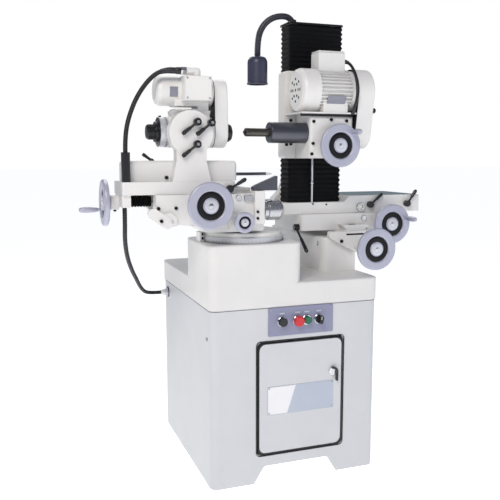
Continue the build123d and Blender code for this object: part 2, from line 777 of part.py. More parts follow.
def control_panel():
    """Panel plate with four raised bezels."""
    outline = Pos(PANEL_OFFSET, panel_middle) * RectangleRounded(PANEL_WIDTH, PANEL_HEIGHT, 4)
    panel_front = front - PANEL_THICK
    panel = along_y(outline, (panel_front, front))
    for x in BUTTON_SPOTS.values():
        panel = panel + rod_y(x, (panel_front - BEZEL_HEIGHT, panel_front + 1), panel_middle, BEZEL_RADIUS)
    for x in BUTTON_SPOTS.values():
        panel = panel - rod_y(
            x, (panel_front - BEZEL_HEIGHT - 1, front + 1), panel_middle, STEM_RADIUS + RUN_GAP,
        )
    return panel


def push_button(x, cap_radius, cap_height):
    """Push button on its stem, standing clear of its bezel by its stroke."""
    bezel_front = front - PANEL_THICK - BEZEL_HEIGHT
    cap_back = bezel_front - BUTTON_STROKE - FACE_GAP
    stem = rod_y(x, (cap_back - 1, cap_back + STEM_LENGTH), panel_middle, STEM_RADIUS)
    cap = rod_y(x, (cap_back - cap_height, cap_back), panel_middle, cap_radius)
    cap = fillet(cap.edges().group_by(Axis.Y)[0], cap_height * 0.4)
    return cap + stem


def selector_knob():
    """Turning selector with a raised grip bar."""
    x = BUTTON_SPOTS["selector_knob"]
    bezel_front = front - PANEL_THICK - BEZEL_HEIGHT
    stem = rod_y(x, (bezel_front - FACE_GAP - 1, bezel_front + STEM_LENGTH), panel_middle, STEM_RADIUS)
    skirt = rod_y(x, (bezel_front - FACE_GAP - 6, bezel_front - FACE_GAP), panel_middle, BEZEL_RADIUS)
    grip = Pos(x, panel_middle) * SlotOverall(BEZEL_RADIUS * 2 - 2, STEM_RADIUS, rotation=90)
    return stem + skirt + along_y(grip, (bezel_front - 20, bezel_front - 5))


def machine_bed():
    """Ribbed bed casting: deck, left and right pedestals, the right cross way and its screw bracket."""
    bed_right = -bed_left
    bed_back = -bed_front
    corner = CABINET_CORNER + BED_OVERHANG
    seam = CABINET_HEIGHT
    mid_deck = seam + DECK_HEIGHT / 2
    deck = along_z(rounded((bed_left, bed_right), (bed_front, bed_back), corner), (seam, deck_top))
    deck = soften_top(deck, CAST_EDGE)
    deck = chamfer(deck.edges().group_by(Axis.Z)[0], BED_OVERHANG)
    left_outline = rounded((bed_left, LEFT_PEDESTAL_RIGHT), (bed_front, LEFT_PEDESTAL_BACK), corner)
    left = soften_top(along_z(left_outline, (mid_deck, left_pedestal_top)), CAST_EDGE)
    right_outline = rounded((RIGHT_PEDESTAL_LEFT, bed_right), (RIGHT_PEDESTAL_FRONT, bed_back), corner)
    right = soften_top(along_z(right_outline, (mid_deck, right_pedestal_top)), CAST_EDGE)
    bed = deck + left + right
    hollow = offset(rounded((bed_left, bed_right), (bed_front, bed_back), corner), -TOP_FLANGE - BED_OVERHANG)
    bed = bed - along_z(hollow, (seam - 1, deck_top - BED_WALL))
    bed = bed - along_z(
        offset(left_outline, -TOP_FLANGE - BED_OVERHANG),
        (mid_deck, left_pedestal_top - SPIGOT_DEPTH - BED_WALL),
    )
    bed = bed - along_z(offset(right_outline, -TOP_FLANGE - BED_OVERHANG), (mid_deck, right_screw_z - 40))
    bed = bed - rod_z(
        SWIVEL_X, SWIVEL_Y, (left_pedestal_top - SPIGOT_DEPTH - 1, left_pedestal_top + 1),
        SPIGOT_RADIUS + RUN_GAP,
    )
    bed = bed + swivel_lug()
    base = rounded((RIGHT_X - BASE_HALF, RIGHT_X + BASE_HALF), (RIGHT_PEDESTAL_FRONT, BASE_BACK), CAST_EDGE)
    bed = bed + along_z(base, (right_pedestal_top - 30, base_top))
    way = Pos(RIGHT_X, base_top - 0.5) * dovetail(RIGHT_WAY_HALF, 0.72, RIGHT_WAY_HEIGHT)
    bed = bed + along_y(way, (RIGHT_PEDESTAL_FRONT + 1, BASE_BACK)) + screw_bracket()
    channel_x = (RIGHT_X - CHANNEL_HALF, RIGHT_X + CHANNEL_HALF)
    channel_z = (right_screw_z - CHANNEL_LOW, base_top + RIGHT_WAY_HEIGHT + 1)
    channel = block(channel_x, (RIGHT_PEDESTAL_FRONT + 20, BASE_BACK - 30), channel_z)
    bed = bed - channel
    return bed - rod_y(
        RIGHT_X, (RIGHT_WHEEL_Y, RIGHT_PEDESTAL_FRONT + 21), right_screw_z, SCREW_RADIUS + RUN_GAP,
    )


def swivel_lug():
    """Clamp lug beside the swivel, cast on the left pedestal."""
    lug_right = SWIVEL_X - SWIVEL_RADIUS - SLIDE_GAP
    lug = block(
        (bed_left + CAST_EDGE, lug_right + 40), (SWIVEL_Y - 22, SWIVEL_Y + 22),
        (left_pedestal_top - 5, swivel_top - 2),
    )
    return lug - rod_z(SWIVEL_X, SWIVEL_Y, (left_pedestal_top, swivel_top), SWIVEL_RADIUS + SLIDE_GAP * 2)


def screw_bracket():
    """Hanging front bracket and long boss of the right cross screw."""
    low = right_screw_z - BRACKET_LOW
    outline = Polygon(
        (RIGHT_X - BRACKET_LEFT, base_top), (RIGHT_X - BRACKET_LEFT, right_pedestal_top), (
            RIGHT_X - 12, low,
        ), (RIGHT_X + 30, low),
        (RIGHT_X + BRACKET_RIGHT, right_screw_z + 6), (RIGHT_X + BRACKET_RIGHT, base_top), align=None,
    )
    outline = fillet(outline.vertices(), CAST_EDGE)
    plate = along_y(outline, (RIGHT_PEDESTAL_FRONT - 20, RIGHT_PEDESTAL_FRONT + 1))
    wheel_back = RIGHT_WHEEL_Y + WHEEL_RIM / 2
    neck = rod_y(RIGHT_X, (wheel_back + SCREW_COLLAR - 1, RIGHT_PEDESTAL_FRONT), right_screw_z, SCREW_NECK)
    collar = rod_y(
        RIGHT_X, (wheel_back + FACE_GAP, wheel_back + SCREW_COLLAR + 1), right_screw_z, SCREW_COLLAR,
    )
    return plate + neck + collar


def conduit_gland():
    """Tapered gland on the cabinet's left side, filled by the sealed end of the conduit."""
    face = -CABINET_WIDTH / 2
    body = turned(
        [
            (0, -14), (CONDUIT_RADIUS + 1.5, -14), (CONDUIT_RADIUS + 1.5, 0), (GLAND_RADIUS + 4, 0),
            (GLAND_RADIUS + 4, 8), (GLAND_RADIUS, 8), (GLAND_RADIUS, 14), (CONDUIT_RADIUS + 1, GLAND_LENGTH),
            (0, GLAND_LENGTH),
        ]
    )
    return facing_left(face, GLAND_Y, gland_z) * body


# Left unit

def swivel_base():
    """Stepped swivel disc with the cross way, its screw channel and its nut."""
    band = rod_z(SWIVEL_X, SWIVEL_Y, (swivel_bottom, swivel_bottom + SWIVEL_BAND), SWIVEL_RADIUS)
    band = chamfer(band.edges().group_by(Axis.Z)[-1], 1)
    disc = rod_z(SWIVEL_X, SWIVEL_Y, (swivel_bottom, swivel_top), SWIVEL_RADIUS - SWIVEL_STEP)
    disc = chamfer(disc.edges().group_by(Axis.Z)[-1], 3)
    spigot = rod_z(SWIVEL_X, SWIVEL_Y, (left_pedestal_top - SPIGOT_DEPTH, swivel_bottom + 1), SPIGOT_RADIUS)
    profile = Pos(CROSS_X, swivel_top - 0.5) * dovetail(CROSS_HALF, 0.7, CROSS_HEIGHT)
    way = along_y(profile, (CROSS_FRONT, CROSS_BACK))
    channel_half = SCREW_RADIUS + 7
    channel_x = (CROSS_X - channel_half, CROSS_X + channel_half)
    channel_z = (cross_screw_z - channel_half, swivel_top + CROSS_HEIGHT + 1)
    channel = block(channel_x, (CROSS_FRONT - 1, CROSS_BACK + 1), channel_z)
    nut_y = (SWIVEL_Y - NUT_LENGTH / 2, SWIVEL_Y + NUT_LENGTH / 2)
    nut = block(channel_x, nut_y, (channel_z[0] - 1, swivel_top + CROSS_HEIGHT - 3))
    bore = rod_y(CROSS_X, (nut_y[0] - 1, nut_y[1] + 1), cross_screw_z, SCREW_RADIUS + RUN_GAP)
    return band + disc + spigot + (way - channel) + (nut - bore)


def left_saddle():
    """Saddle casting: cross slot below, table rails above, wing, front plate and post."""
    skirt_bottom = swivel_top + 5
    wing_bottom = saddle_top - SADDLE_WING_DEPTH
    outline = Polygon(
        (SADDLE_LUG, skirt_bottom), (SADDLE_RIGHT, skirt_bottom), (SADDLE_RIGHT, saddle_top), (
            SADDLE_LEFT, saddle_top,
        ),
        (SADDLE_LEFT, saddle_top - SADDLE_END_DEPTH), (SADDLE_LEFT + 35, wing_bottom), (
            SADDLE_LUG - 30, wing_bottom - 10,
        ),
        align=None,
    )
    outline = fillet(outline.vertices().group_by(Axis.Y)[0], CAST_EDGE)
    body = along_y(outline, (SADDLE_FRONT, SADDLE_BACK))
    rail = Pos(RAIL_MIDDLE, saddle_top - 0.5) * dovetail(RAIL_HALF, 0.84, RAIL_HEIGHT)
    body = body + along_x(rail, (SADDLE_LEFT, SADDLE_RIGHT - POST_WIDTH))
    slot = Pos(CROSS_X, swivel_top - 0.5) * dovetail_slot(CROSS_HALF, 0.7, CROSS_HEIGHT)
    body = body - along_y(slot, (SADDLE_FRONT + SADDLE_WALL, SADDLE_BACK + 1))
    trough_y = (RAIL_MIDDLE - TROUGH_HALF, RAIL_MIDDLE + TROUGH_HALF)
    trough_floor = saddle_top - TROUGH_DEPTH
    body = body - block(
        (SADDLE_LEFT - 1, TROUGH_RIGHT), trough_y, (trough_floor, saddle_top + RAIL_HEIGHT + 1),
    )
    nut_x = (SADDLE_LEFT + SADDLE_NUT_IN, SADDLE_LEFT + SADDLE_NUT_IN + NUT_LENGTH)
    nut_y = (END_SCREW_Y - SCREW_RADIUS * 2, END_SCREW_Y + SCREW_RADIUS * 2)
    body = body + block(nut_x, nut_y, (trough_floor - 1, end_screw_z + SCREW_RADIUS + 5))
    boss = rod_y(FEED_X, (SADDLE_FRONT - FEED_BOSS_LENGTH, SADDLE_FRONT + 1), feed_z, FEED_BOSS)
    plate = Pos(CROSS_X, cross_screw_z) * RectangleRounded(CROSS_PLATE_WIDTH, CROSS_PLATE_HEIGHT, 8)
    plate = along_y(plate, (SADDLE_FRONT - SADDLE_WALL, SADDLE_FRONT + 1))
    collar = rod_y(CROSS_X, (SADDLE_FRONT - 26, SADDLE_FRONT), cross_screw_z, SCREW_RADIUS * 2)
    body = body + boss + plate + collar + saddle_post(skirt_bottom + 25) + saddle_arm()
    body = body - rod_y(
        FEED_X, (SADDLE_FRONT - FEED_BOSS_LENGTH - 1, trough_y[0] + 1), feed_z, SCREW_RADIUS + RUN_GAP,
    )
    body = body - rod_y(
        CROSS_X, (SADDLE_FRONT - 27, SADDLE_FRONT + SADDLE_WALL + 1), cross_screw_z, SCREW_RADIUS + RUN_GAP,
    )
    body = body - rod_x((SADDLE_LEFT - 1, nut_x[1] + 1), END_SCREW_Y, end_screw_z, SCREW_RADIUS + RUN_GAP)
    return body - rod_x(
        (SADDLE_RIGHT - 20, SADDLE_RIGHT + 1), TABLE_FRONT, cross_screw_z + STOP_RADIUS,
        LEVER_STEM + RUN_GAP,
    )


def saddle_post(bottom):
    """Post at the saddle's front right corner, with a pad on top for the tooth rest."""
    x = (SADDLE_RIGHT - POST_WIDTH, SADDLE_RIGHT)
    top = saddle_top + POST_UP
    post = block(x, (SADDLE_FRONT - POST_PROUD, SADDLE_FRONT + SADDLE_WALL / 2), (bottom, top))
    post = fillet(post.edges().filter_by(Axis.Z), 4)
    return post + block(x, (SADDLE_FRONT - POST_PROUD / 2, SADDLE_FRONT + POST_PAD), (saddle_top - 10, top))


def saddle_arm():
    """Rounded stop arm that slopes down from the saddle's left end."""
    arm = Pos(SADDLE_LEFT + 11, saddle_top - SADDLE_WING_DEPTH * 0.8) * SlotCenterToCenter(
        52, 34, rotation=-35,
    )
    return along_y(arm, (SADDLE_FRONT - 12, SADDLE_FRONT + 1))


def stop_dial():
    """Knurled stop drum on the saddle's right side."""
    z = cross_screw_z + STOP_RADIUS
    drum = turned(
        [
            (0, 0), (STOP_RADIUS - 4, 0), (STOP_RADIUS - 4, 12), (STOP_RADIUS, 14),
            (STOP_RADIUS, STOP_LENGTH - 14), (STOP_RADIUS - 6, STOP_LENGTH - 6),
            (STOP_RADIUS - 14, STOP_LENGTH), (0, STOP_LENGTH),
        ]
    )
    stem = Pos(0, 0, -8) * Cylinder(LEVER_STEM, 18)
    return facing_right(SADDLE_RIGHT + FACE_GAP, TABLE_FRONT, z) * (drum + stem)


def cross_wheel():
    """Small cross-feed handwheel with its screw."""
    back = SADDLE_FRONT - CROSS_WHEEL_OUT
    rim_inner, hub = SMALL_WHEEL_RADIUS * 0.6, SMALL_WHEEL_RADIUS * 0.4
    wheel = handwheel(SMALL_WHEEL_RADIUS, rim_inner, hub, SCREW_RADIUS, CROSS_BACK - 20 - back)
    return facing_front(CROSS_X, back, cross_screw_z) * wheel


def feed_wheel():
    """Large traverse handwheel with its rack pinion."""
    back = SADDLE_FRONT - FEED_WHEEL_OUT + WHEEL_RIM
    wheel = handwheel(WHEEL_RADIUS, WHEEL_RIM_INNER, WHEEL_HUB, SCREW_RADIUS, gear_back - back)
    return facing_front(FEED_X, back, feed_z) * wheel + facing_front(
        FEED_X, gear_back, feed_z,
    ) * pinion(FEED_MODULE)


def left_table():
    """Left table with dovetail slot, rack, end bracket and lever hole."""
    body = block((TABLE_LEFT, TABLE_RIGHT), (TABLE_FRONT, TABLE_BACK), (table_bottom, table_top))
    body = fillet(body.edges().filter_by(Axis.Z), CAST_EDGE)
    slot = Pos(RAIL_MIDDLE, saddle_top - 0.5) * dovetail_slot(RAIL_HALF, 0.84, RAIL_HEIGHT)
    body = body - along_x(slot, (TABLE_LEFT + BRACKET_THICK, TABLE_RIGHT + 1))
    pitch_z = feed_z + FEED_MODULE * PINION_TEETH / 2
    rack_top = saddle_top + RAIL_HEIGHT + 2
    rack_y = (gear_back - GEAR_WIDTH, gear_back)
    body = body + rack(
        FEED_MODULE, FEED_X + LEFT_RACK_SHIFT, LEFT_RACK_LENGTH, pitch_z, FEED_X, rack_top, rack_y,
    )
    bracket_y = (TABLE_FRONT + 10, END_SCREW_Y + 50)
    bracket_z = (table_bottom - BRACKET_DROP, table_bottom + 10)
    bracket = block((TABLE_LEFT, TABLE_LEFT + BRACKET_THICK), bracket_y, bracket_z)
    boss = rod_x((TABLE_LEFT - END_BOSS_LENGTH, TABLE_LEFT + 1), END_SCREW_Y, end_screw_z, END_BOSS_RADIUS)
    boss = fillet(boss.edges().group_by(Axis.X)[0], 4)
    body = body + bracket + boss
    body = body - rod_x(
        (TABLE_LEFT - END_BOSS_LENGTH - 1, TABLE_LEFT + BRACKET_THICK + 1), END_SCREW_Y, end_screw_z,
        SCREW_RADIUS + RUN_GAP,
    )
    return body - lever_hole_y(TABLE_RIGHT - TABLE_LOCK_IN, TABLE_FRONT, table_top - TABLE_LOCK_DOWN)


def way_cover():
    """Pleated cover over the end screw, between the bracket and the saddle."""
    left = TABLE_LEFT + BRACKET_THICK + FACE_GAP
    length = SADDLE_LEFT - FACE_GAP - left
    outline = Rot(0, 0, 90) * zigzag(COVER_HALF, length, COVER_PITCH)
    folds = along_z(
        Pos(left + length, END_SCREW_Y) * outline, (end_screw_z - COVER_DROP, table_bottom - COVER_TOP_GAP),
    )
    return folds - rod_x((left - 1, left + length + 1), END_SCREW_Y, end_screw_z, SCREW_RADIUS + 2)


def end_wheel():
    """Handwheel and screw at the table's left end."""
    back = TABLE_LEFT - END_WHEEL_OUT
    wheel = handwheel(WHEEL_RADIUS, WHEEL_RIM_INNER, WHEEL_HUB, SCREW_RADIUS, TROUGH_RIGHT - 75 - back, 205)
    return facing_left(back, END_SCREW_Y, end_screw_z) * wheel


def conduit_sleeve():
    """Flat sleeve that holds the conduit in front of the base block."""
    x, y = sleeve_spot()
    outline = Pos(x, y) * RectangleRounded(SLEEVE_WIDTH, SLEEVE_DEPTH, SLEEVE_DEPTH / 3)
    return along_z(outline, (table_top, table_top + SLEEVE_HEIGHT))


def sleeve_spot():
    """Middle of the conduit sleeve on the table."""
    return BLOCK_LEFT + SLEEVE_IN, (TABLE_FRONT + BLOCK_FRONT) / 2


def head_upright():
    """Base block, upright disc that carries the work head, and the pointed rod on the block's right end."""
    base = block((BLOCK_LEFT, BLOCK_RIGHT), (BLOCK_FRONT, BLOCK_BACK), (table_top, table_top + BLOCK_HEIGHT))
    base = fillet(base.edges().filter_by(Axis.Z) + base.edges().group_by(Axis.Z)[-1], 12)
    half = UPRIGHT_NECK / 2
    shoulder = table_top + BLOCK_HEIGHT
    neck = Polygon(
        (PIVOT_X - half - 14, table_top), (PIVOT_X + half + 14, table_top), (PIVOT_X + half, shoulder),
        (PIVOT_X + half, pivot_z), (PIVOT_X - half, pivot_z), (PIVOT_X - half, shoulder), align=None,
    )
    disc = Pos(PIVOT_X, pivot_z) * Circle(DISC_RADIUS)
    ear = Pos(*head_lever_spots()[1]) * Circle(LEVER_HUB)
    plate = along_y(neck + disc + ear, (UPRIGHT_FRONT, BLOCK_FRONT - SLIDE_GAP))
    bridge = block(
        (PIVOT_X - half, PIVOT_X + half), (BLOCK_FRONT - 5, BLOCK_FRONT + 5), (table_top, shoulder - 15),
    )
    upright = base + plate + bridge + pointed_rod()
    upright = upright - rod_y(
        PIVOT_X, (BLOCK_FRONT - PIVOT_DEPTH - 1, BLOCK_FRONT), pivot_z, PIVOT_RADIUS + RUN_GAP,
    )
    for x, z in head_lever_spots():
        upright = upright - lever_hole_y(x, UPRIGHT_FRONT, z)
    return upright


def pointed_rod():
    """Pointed rod that stands out of the base block towards the wheel."""
    z = table_top + REST_ROD_UP
    shoulder = REST_ROD_TIP - REST_ROD_POINT
    rod = rod_x((BLOCK_RIGHT - REST_ROD_POINT, shoulder), HEAD_Y, z, REST_ROD_RADIUS)
    point = turned(
        [(0, 0), (REST_ROD_RADIUS, 0), (REST_ROD_RADIUS * 0.3, REST_ROD_POINT), (0, REST_ROD_POINT)]
    )
    return rod + facing_right(shoulder, HEAD_Y, z) * point


def head_lever_spots():
    """Hub centres of the three head levers on the upright's disc."""
    return [(PIVOT_X + 17, pivot_z + 34), (PIVOT_X + 62, pivot_z + 32), (PIVOT_X + 16, pivot_z - 34)]


def head_lever(number):
    """One of the three head clamp levers."""
    x, z = head_lever_spots()[number]
    return facing_front(x, UPRIGHT_FRONT - FACE_GAP, z) * clamp_lever(LEVER_ARM, 218)


def table_lock_lever():
    """Lever that locks the left table."""
    spot = facing_front(TABLE_RIGHT - TABLE_LOCK_IN, TABLE_FRONT - FACE_GAP, table_top - TABLE_LOCK_DOWN)
    return spot * clamp_lever(LEVER_ARM, 30)


def tooth_rest():
    """Wedge-shaped tooth rest on the saddle's post, rising to the right."""
    left = SADDLE_RIGHT - POST_WIDTH + 3
    right = left + REST_LENGTH
    base_z = saddle_top + POST_UP
    outline = Polygon(
        (left, base_z), (right, base_z), (right, base_z + REST_HEIGHT), (
            left + 12, base_z + REST_HEIGHT * 0.38,
        ),
        (left, base_z + REST_HEIGHT * 0.25), align=None,
    )
    outline = fillet(outline.vertices(), 2)
    return along_y(outline, (SADDLE_FRONT + 10, SADDLE_FRONT + POST_PAD - 4))


# Work head

def head_drum():
    """Head casting: barrel with bearing seats, pivot disc and motor foot."""
    barrel = rod_x((BARREL_LEFT, BARREL_RIGHT), HEAD_Y, head_z, BARREL_RADIUS)
    barrel = chamfer(barrel.edges(), 3)
    disc = rod_y(PIVOT_X, (BLOCK_FRONT, HEAD_Y), pivot_z, PIVOT_X - BARREL_LEFT)
    pivot = rod_y(PIVOT_X, (BLOCK_FRONT - PIVOT_DEPTH, BLOCK_FRONT + 1), pivot_z, PIVOT_RADIUS)
    waist = head_foot_z - HEAD_FOOT
    outline = Polygon(
        (HEAD_Y - 46, head_z), (HEAD_Y - 30, waist), (HEAD_Y - HEAD_FOOT_HALF - 4, head_foot_z),
        (HEAD_Y + HEAD_FOOT_HALF + 4, head_foot_z), (HEAD_Y + 30, waist), (HEAD_Y + 46, head_z), align=None,
    )
    foot = along_x(outline, (BARREL_LEFT + 14, BARREL_RIGHT - 14))
    drum = barrel + disc + pivot + foot
    drum = drum - rod_x((BARREL_LEFT - 1, BARREL_RIGHT + 1), HEAD_Y, head_z, SPINDLE_RADIUS + 4)
    for x in head_bearing_spots():
        drum = drum - rod_x((x - 1, x + BEARING_WIDTH + 1), HEAD_Y, head_z, BEARING_RADIUS)
    return drum


def head_bearing_spots():
    """Left faces of the two spindle bearings of the head."""
    return [BARREL_LEFT + 1, BARREL_RIGHT - BEARING_WIDTH - 1]


def head_bearings():
    """Two sealed bearings in the head barrel."""
    rings = []
    for x in head_bearing_spots():
        ring = rod_x((x, x + BEARING_WIDTH), HEAD_Y, head_z, BEARING_RADIUS)
        rings.append(ring - rod_x((x - 1, x + BEARING_WIDTH + 1), HEAD_Y, head_z, SPINDLE_RADIUS + RUN_GAP))
    return Part() + rings


def work_spindle():
    """Work spindle with its belt pulley and nose."""
    shaft = rod_x((BARREL_LEFT - DIAL_WIDTH, GUARD_RIGHT - GUARD_WALL - 2), HEAD_Y, head_z, SPINDLE_RADIUS)
    nose = rod_x(
        (GUARD_RIGHT - GUARD_WALL - 3, GUARD_RIGHT + NOSE_LENGTH - 8), HEAD_Y, head_z, SPINDLE_RADIUS - 4,
    )
    wheel = facing_right(guard_middle, HEAD_Y, head_z) * pulley(HEAD_PULLEY, BELT_WIDTH + 7)
    return shaft + nose + wheel


def index_dial():
    """Index ring, disc and knob on the spindle's left end."""
    left = BARREL_LEFT - FACE_GAP
    end = DIAL_WIDTH - FACE_GAP
    knob = end + 10
    body = turned([
        (0, 0), (DIAL_RADIUS, 0), (DIAL_RADIUS, end - 3), (DIAL_RADIUS - 3, end), (DIAL_RADIUS * 0.68, end), (
            DIAL_RADIUS * 0.68, knob,
        ),
        (KNOB_RADIUS, knob), (KNOB_RADIUS, knob + 22), (KNOB_RADIUS - 4, knob + 26), (0, knob + 26),
    ])
    return facing_left(left, HEAD_Y, head_z) * (
        body - Pos(0, 0, end / 2) * Cylinder(SPINDLE_RADIUS + RUN_GAP, end)
    )


def nose_cap():
    """Domed cap on the spindle's nose."""
    left = GUARD_RIGHT + FACE_GAP
    bore = NOSE_LENGTH - 8 - FACE_GAP
    body = turned([
        (0, 0), (NOSE_RADIUS, 0), (NOSE_RADIUS, NOSE_LENGTH - 12), (NOSE_RADIUS - 5, NOSE_LENGTH - 4), (
            NOSE_RADIUS - 14, NOSE_LENGTH,
        ),
        (0, NOSE_LENGTH),
    ])
    return facing_right(left, HEAD_Y, head_z) * (
        body - Pos(0, 0, bore / 2) * Cylinder(SPINDLE_RADIUS - 4 + RUN_GAP, bore)
    )


def head_motor():
    """Head motor with slotted foot, terminal box and elbow for the conduit."""
    length = HEAD_MOTOR_RIGHT - HEAD_MOTOR_LEFT
    edge = HEAD_MOTOR_RADIUS
    body = turned(
        [(0, 0), (edge, 0), (edge, length - 16), (edge - 5, length - 5), (edge - 16, length), (0, length)]
    )
    body = facing_left(HEAD_MOTOR_RIGHT, HEAD_Y, head_motor_z) * body
    foot_y = (HEAD_Y - HEAD_FOOT_HALF, HEAD_Y + HEAD_FOOT_HALF)
    foot = block((BARREL_LEFT + 20, BARREL_RIGHT - 20), foot_y, (head_foot_z, head_motor_z))
    slot_z = (head_foot_z + HEAD_SLOT_FLOOR, head_foot_z + HEAD_FOOT - 1)
    slot = block((HEAD_SLOT_LEFT, HEAD_SLOT_RIGHT), (foot_y[0] - 1, foot_y[1] + 1), slot_z)
    box_z = (head_motor_z - HEAD_BOX_DROP, head_motor_z + HEAD_BOX_RISE)
    box = block((HEAD_BOX_LEFT, HEAD_BOX_RIGHT), (BOX_FRONT, HEAD_Y), box_z)
    box = fillet(box.edges().group_by(Axis.Y)[0], CAST_EDGE)
    shaft_hole = rod_x(
        (HEAD_MOTOR_RIGHT - SHAFT_GRIP, HEAD_MOTOR_RIGHT + 1), HEAD_Y, head_motor_z,
        HEAD_SHAFT_RADIUS + RUN_GAP,
    )
    return body + foot - slot + box - shaft_hole + head_elbow()


def elbow_spot():
    """Centre of the elbow on the head's terminal box."""
    return ELBOW_X, BOX_FRONT + ELBOW_IN, head_motor_z + ELBOW_RISE


def head_elbow():
    """Elbow connector on the head's terminal box, opening to the left."""
    x, y, z = elbow_spot()
    riser = rod_z(x, y, (head_motor_z + HEAD_BOX_RISE - 2, z), ELBOW_RADIUS)
    ball = Pos(x, y, z) * Sphere(ELBOW_RADIUS)
    arm = rod_x((x - ELBOW_REACH, x), y, z, ELBOW_RADIUS)
    nut = rod_x((x - ELBOW_NUT_REACH, x - ELBOW_REACH + 4), y, z, ELBOW_NUT_RADIUS)
    return riser + ball + arm + nut


def head_motor_pulley():
    """Motor pulley of the head on its shaft end."""
    shaft = rod_x((HEAD_MOTOR_RIGHT - SHAFT_GRIP + 2, guard_middle), HEAD_Y, head_motor_z, HEAD_SHAFT_RADIUS)
    return shaft + facing_right(guard_middle, HEAD_Y, head_motor_z) * pulley(
        HEAD_MOTOR_PULLEY, BELT_WIDTH + 7,
    )


def head_guard():
    """Belt guard of the work head, open for the spindle's nose."""
    low, high = (HEAD_Y, head_z), (HEAD_Y, head_motor_z)
    guard = belt_guard(
        low, GUARD_LOW, high, GUARD_HIGH, (BARREL_RIGHT, GUARD_RIGHT), SPINDLE_RADIUS + 2,
        HEAD_SHAFT_RADIUS + 4,
    )
    return guard - rod_x((GUARD_RIGHT - GUARD_WALL - 1, GUARD_RIGHT + 1), HEAD_Y, head_z, SPINDLE_RADIUS)


def head_belt():
    """Belt of the work head."""
    return belt((HEAD_Y, head_z), HEAD_PULLEY, (HEAD_Y, head_motor_z), HEAD_MOTOR_PULLEY, guard_middle)


def head_conduit():
    """Conduit from the head's elbow down to the sleeve on the table."""
    x, y, z = elbow_spot()
    x = x - ELBOW_NUT_REACH
    end_x, end_y = sleeve_spot()
    end_z = table_top + SLEEVE_HEIGHT
    return cord([
        (x, y, z), (x - 28, y, z), (x - 66, y - 2, z - 22), (x - 109, y - 5, z - 77), (
            x - 138, y - 9, z - 143,
        ),
        (end_x, end_y, end_z + 46), (end_x, end_y, end_z),
    ], CONDUIT_RADIUS)


def cabinet_conduit():
    """Conduit that hangs from the table's end bracket to the cabinet's gland."""
    x, y, z = TABLE_LEFT + BRACKET_THICK / 2, TABLE_FRONT + 48, table_bottom - BRACKET_DROP - FACE_GAP
    end_x = -CABINET_WIDTH / 2 - GLAND_LENGTH
    return cord([
        (x, y, z), (x, y, z - 52), (x + 5, y + 42, z - 110), (x + 25, y + 122, z - 175), (
            x + 57, y + 222, z - 236,
        ),
        (x + 88, y + 312, z - 282), (end_x - 101, GLAND_Y - 98, gland_z + 48), (
            end_x - 70, GLAND_Y - 28, gland_z + 11,
        ),
        (end_x - 36, GLAND_Y, gland_z), (end_x, GLAND_Y, gland_z),
    ], CONDUIT_RADIUS)


# Right unit

def right_saddle():
    """Right saddle: cross slot below, table rails above, drive lobe and screw nut."""
    saddle_x = (RIGHT_SADDLE_LEFT, RIGHT_SADDLE_RIGHT)
    body = block(saddle_x, (RIGHT_SADDLE_FRONT, RIGHT_SADDLE_BACK), (right_saddle_bottom, right_saddle_top))
    body = fillet(body.edges().filter_by(Axis.Z), CAST_EDGE * 2)
    lobe_z = (right_saddle_bottom - LOBE_DROP, right_saddle_top)
    lobe = block((RIGHT_SADDLE_RIGHT - 30, LOBE_RIGHT), (RIGHT_SADDLE_FRONT, LOBE_BACK), lobe_z)
    lobe = fillet(lobe.edges().filter_by(Axis.Z).group_by(Axis.X)[-1], CAST_EDGE * 2)
    rails = Pos(RIGHT_RAIL_MIDDLE, right_saddle_top - 0.5) * dovetail(
        RIGHT_RAIL_HALF, 0.86, RIGHT_RAIL_HEIGHT,
    )
    body = body + lobe + along_x(rails, saddle_x)
    slot = Pos(RIGHT_X, base_top - 0.5) * dovetail_slot(RIGHT_WAY_HALF, 0.72, RIGHT_WAY_HEIGHT)
    body = body - along_y(slot, (RIGHT_SADDLE_FRONT - 1, RIGHT_SADDLE_BACK + 1))
    nut = block(
        (RIGHT_X - 15, RIGHT_X + 15), (-NUT_LENGTH, 0),
        (right_screw_z - 16, base_top + RIGHT_WAY_HEIGHT + 5),
    )
    body = body + nut - rod_y(RIGHT_X, (-NUT_LENGTH - 1, 1), right_screw_z, SCREW_RADIUS + RUN_GAP)
    gear_y = (RIGHT_SADDLE_FRONT + GEAR_IN, RIGHT_SADDLE_FRONT + GEAR_IN + GEAR_ROOM)
    rack_floor = traverse_z + TRAVERSE_MODULE * (PINION_TEETH / 2 - 2.5)
    body = body - block((TRAVERSE_X - 140, LOBE_RIGHT + 1), gear_y, (rack_floor, right_saddle_top + 1))
    pocket_half = TRAVERSE_MODULE * (PINION_TEETH / 2 + 2)
    body = body - block(
        (TRAVERSE_X - pocket_half, TRAVERSE_X + pocket_half), gear_y,
        (traverse_z - pocket_half, right_saddle_top + 1),
    )
    boss = rod_y(
        TRAVERSE_X, (RIGHT_SADDLE_FRONT - TRAVERSE_BOSS, RIGHT_SADDLE_FRONT + 1), traverse_z, WHEEL_HUB + 1,
    )
    body = body + boss - rod_y(
        TRAVERSE_X, (RIGHT_SADDLE_FRONT - TRAVERSE_BOSS - 1, gear_y[1] + 20), traverse_z,
        SCREW_RADIUS + RUN_GAP,
    )
    lock_hole = rod_x(
        (RIGHT_SADDLE_LEFT - 1, RIGHT_SADDLE_LEFT + LEVER_STEM * 2 + 1), *saddle_lock_spot(),
        LEVER_STEM + RUN_GAP,
    )
    return body - lock_hole


def saddle_lock_spot():
    """Centre of the saddle lock lever on the saddle's left face."""
    return RIGHT_SADDLE_FRONT + LOCK_IN, right_saddle_bottom + LOCK_UP


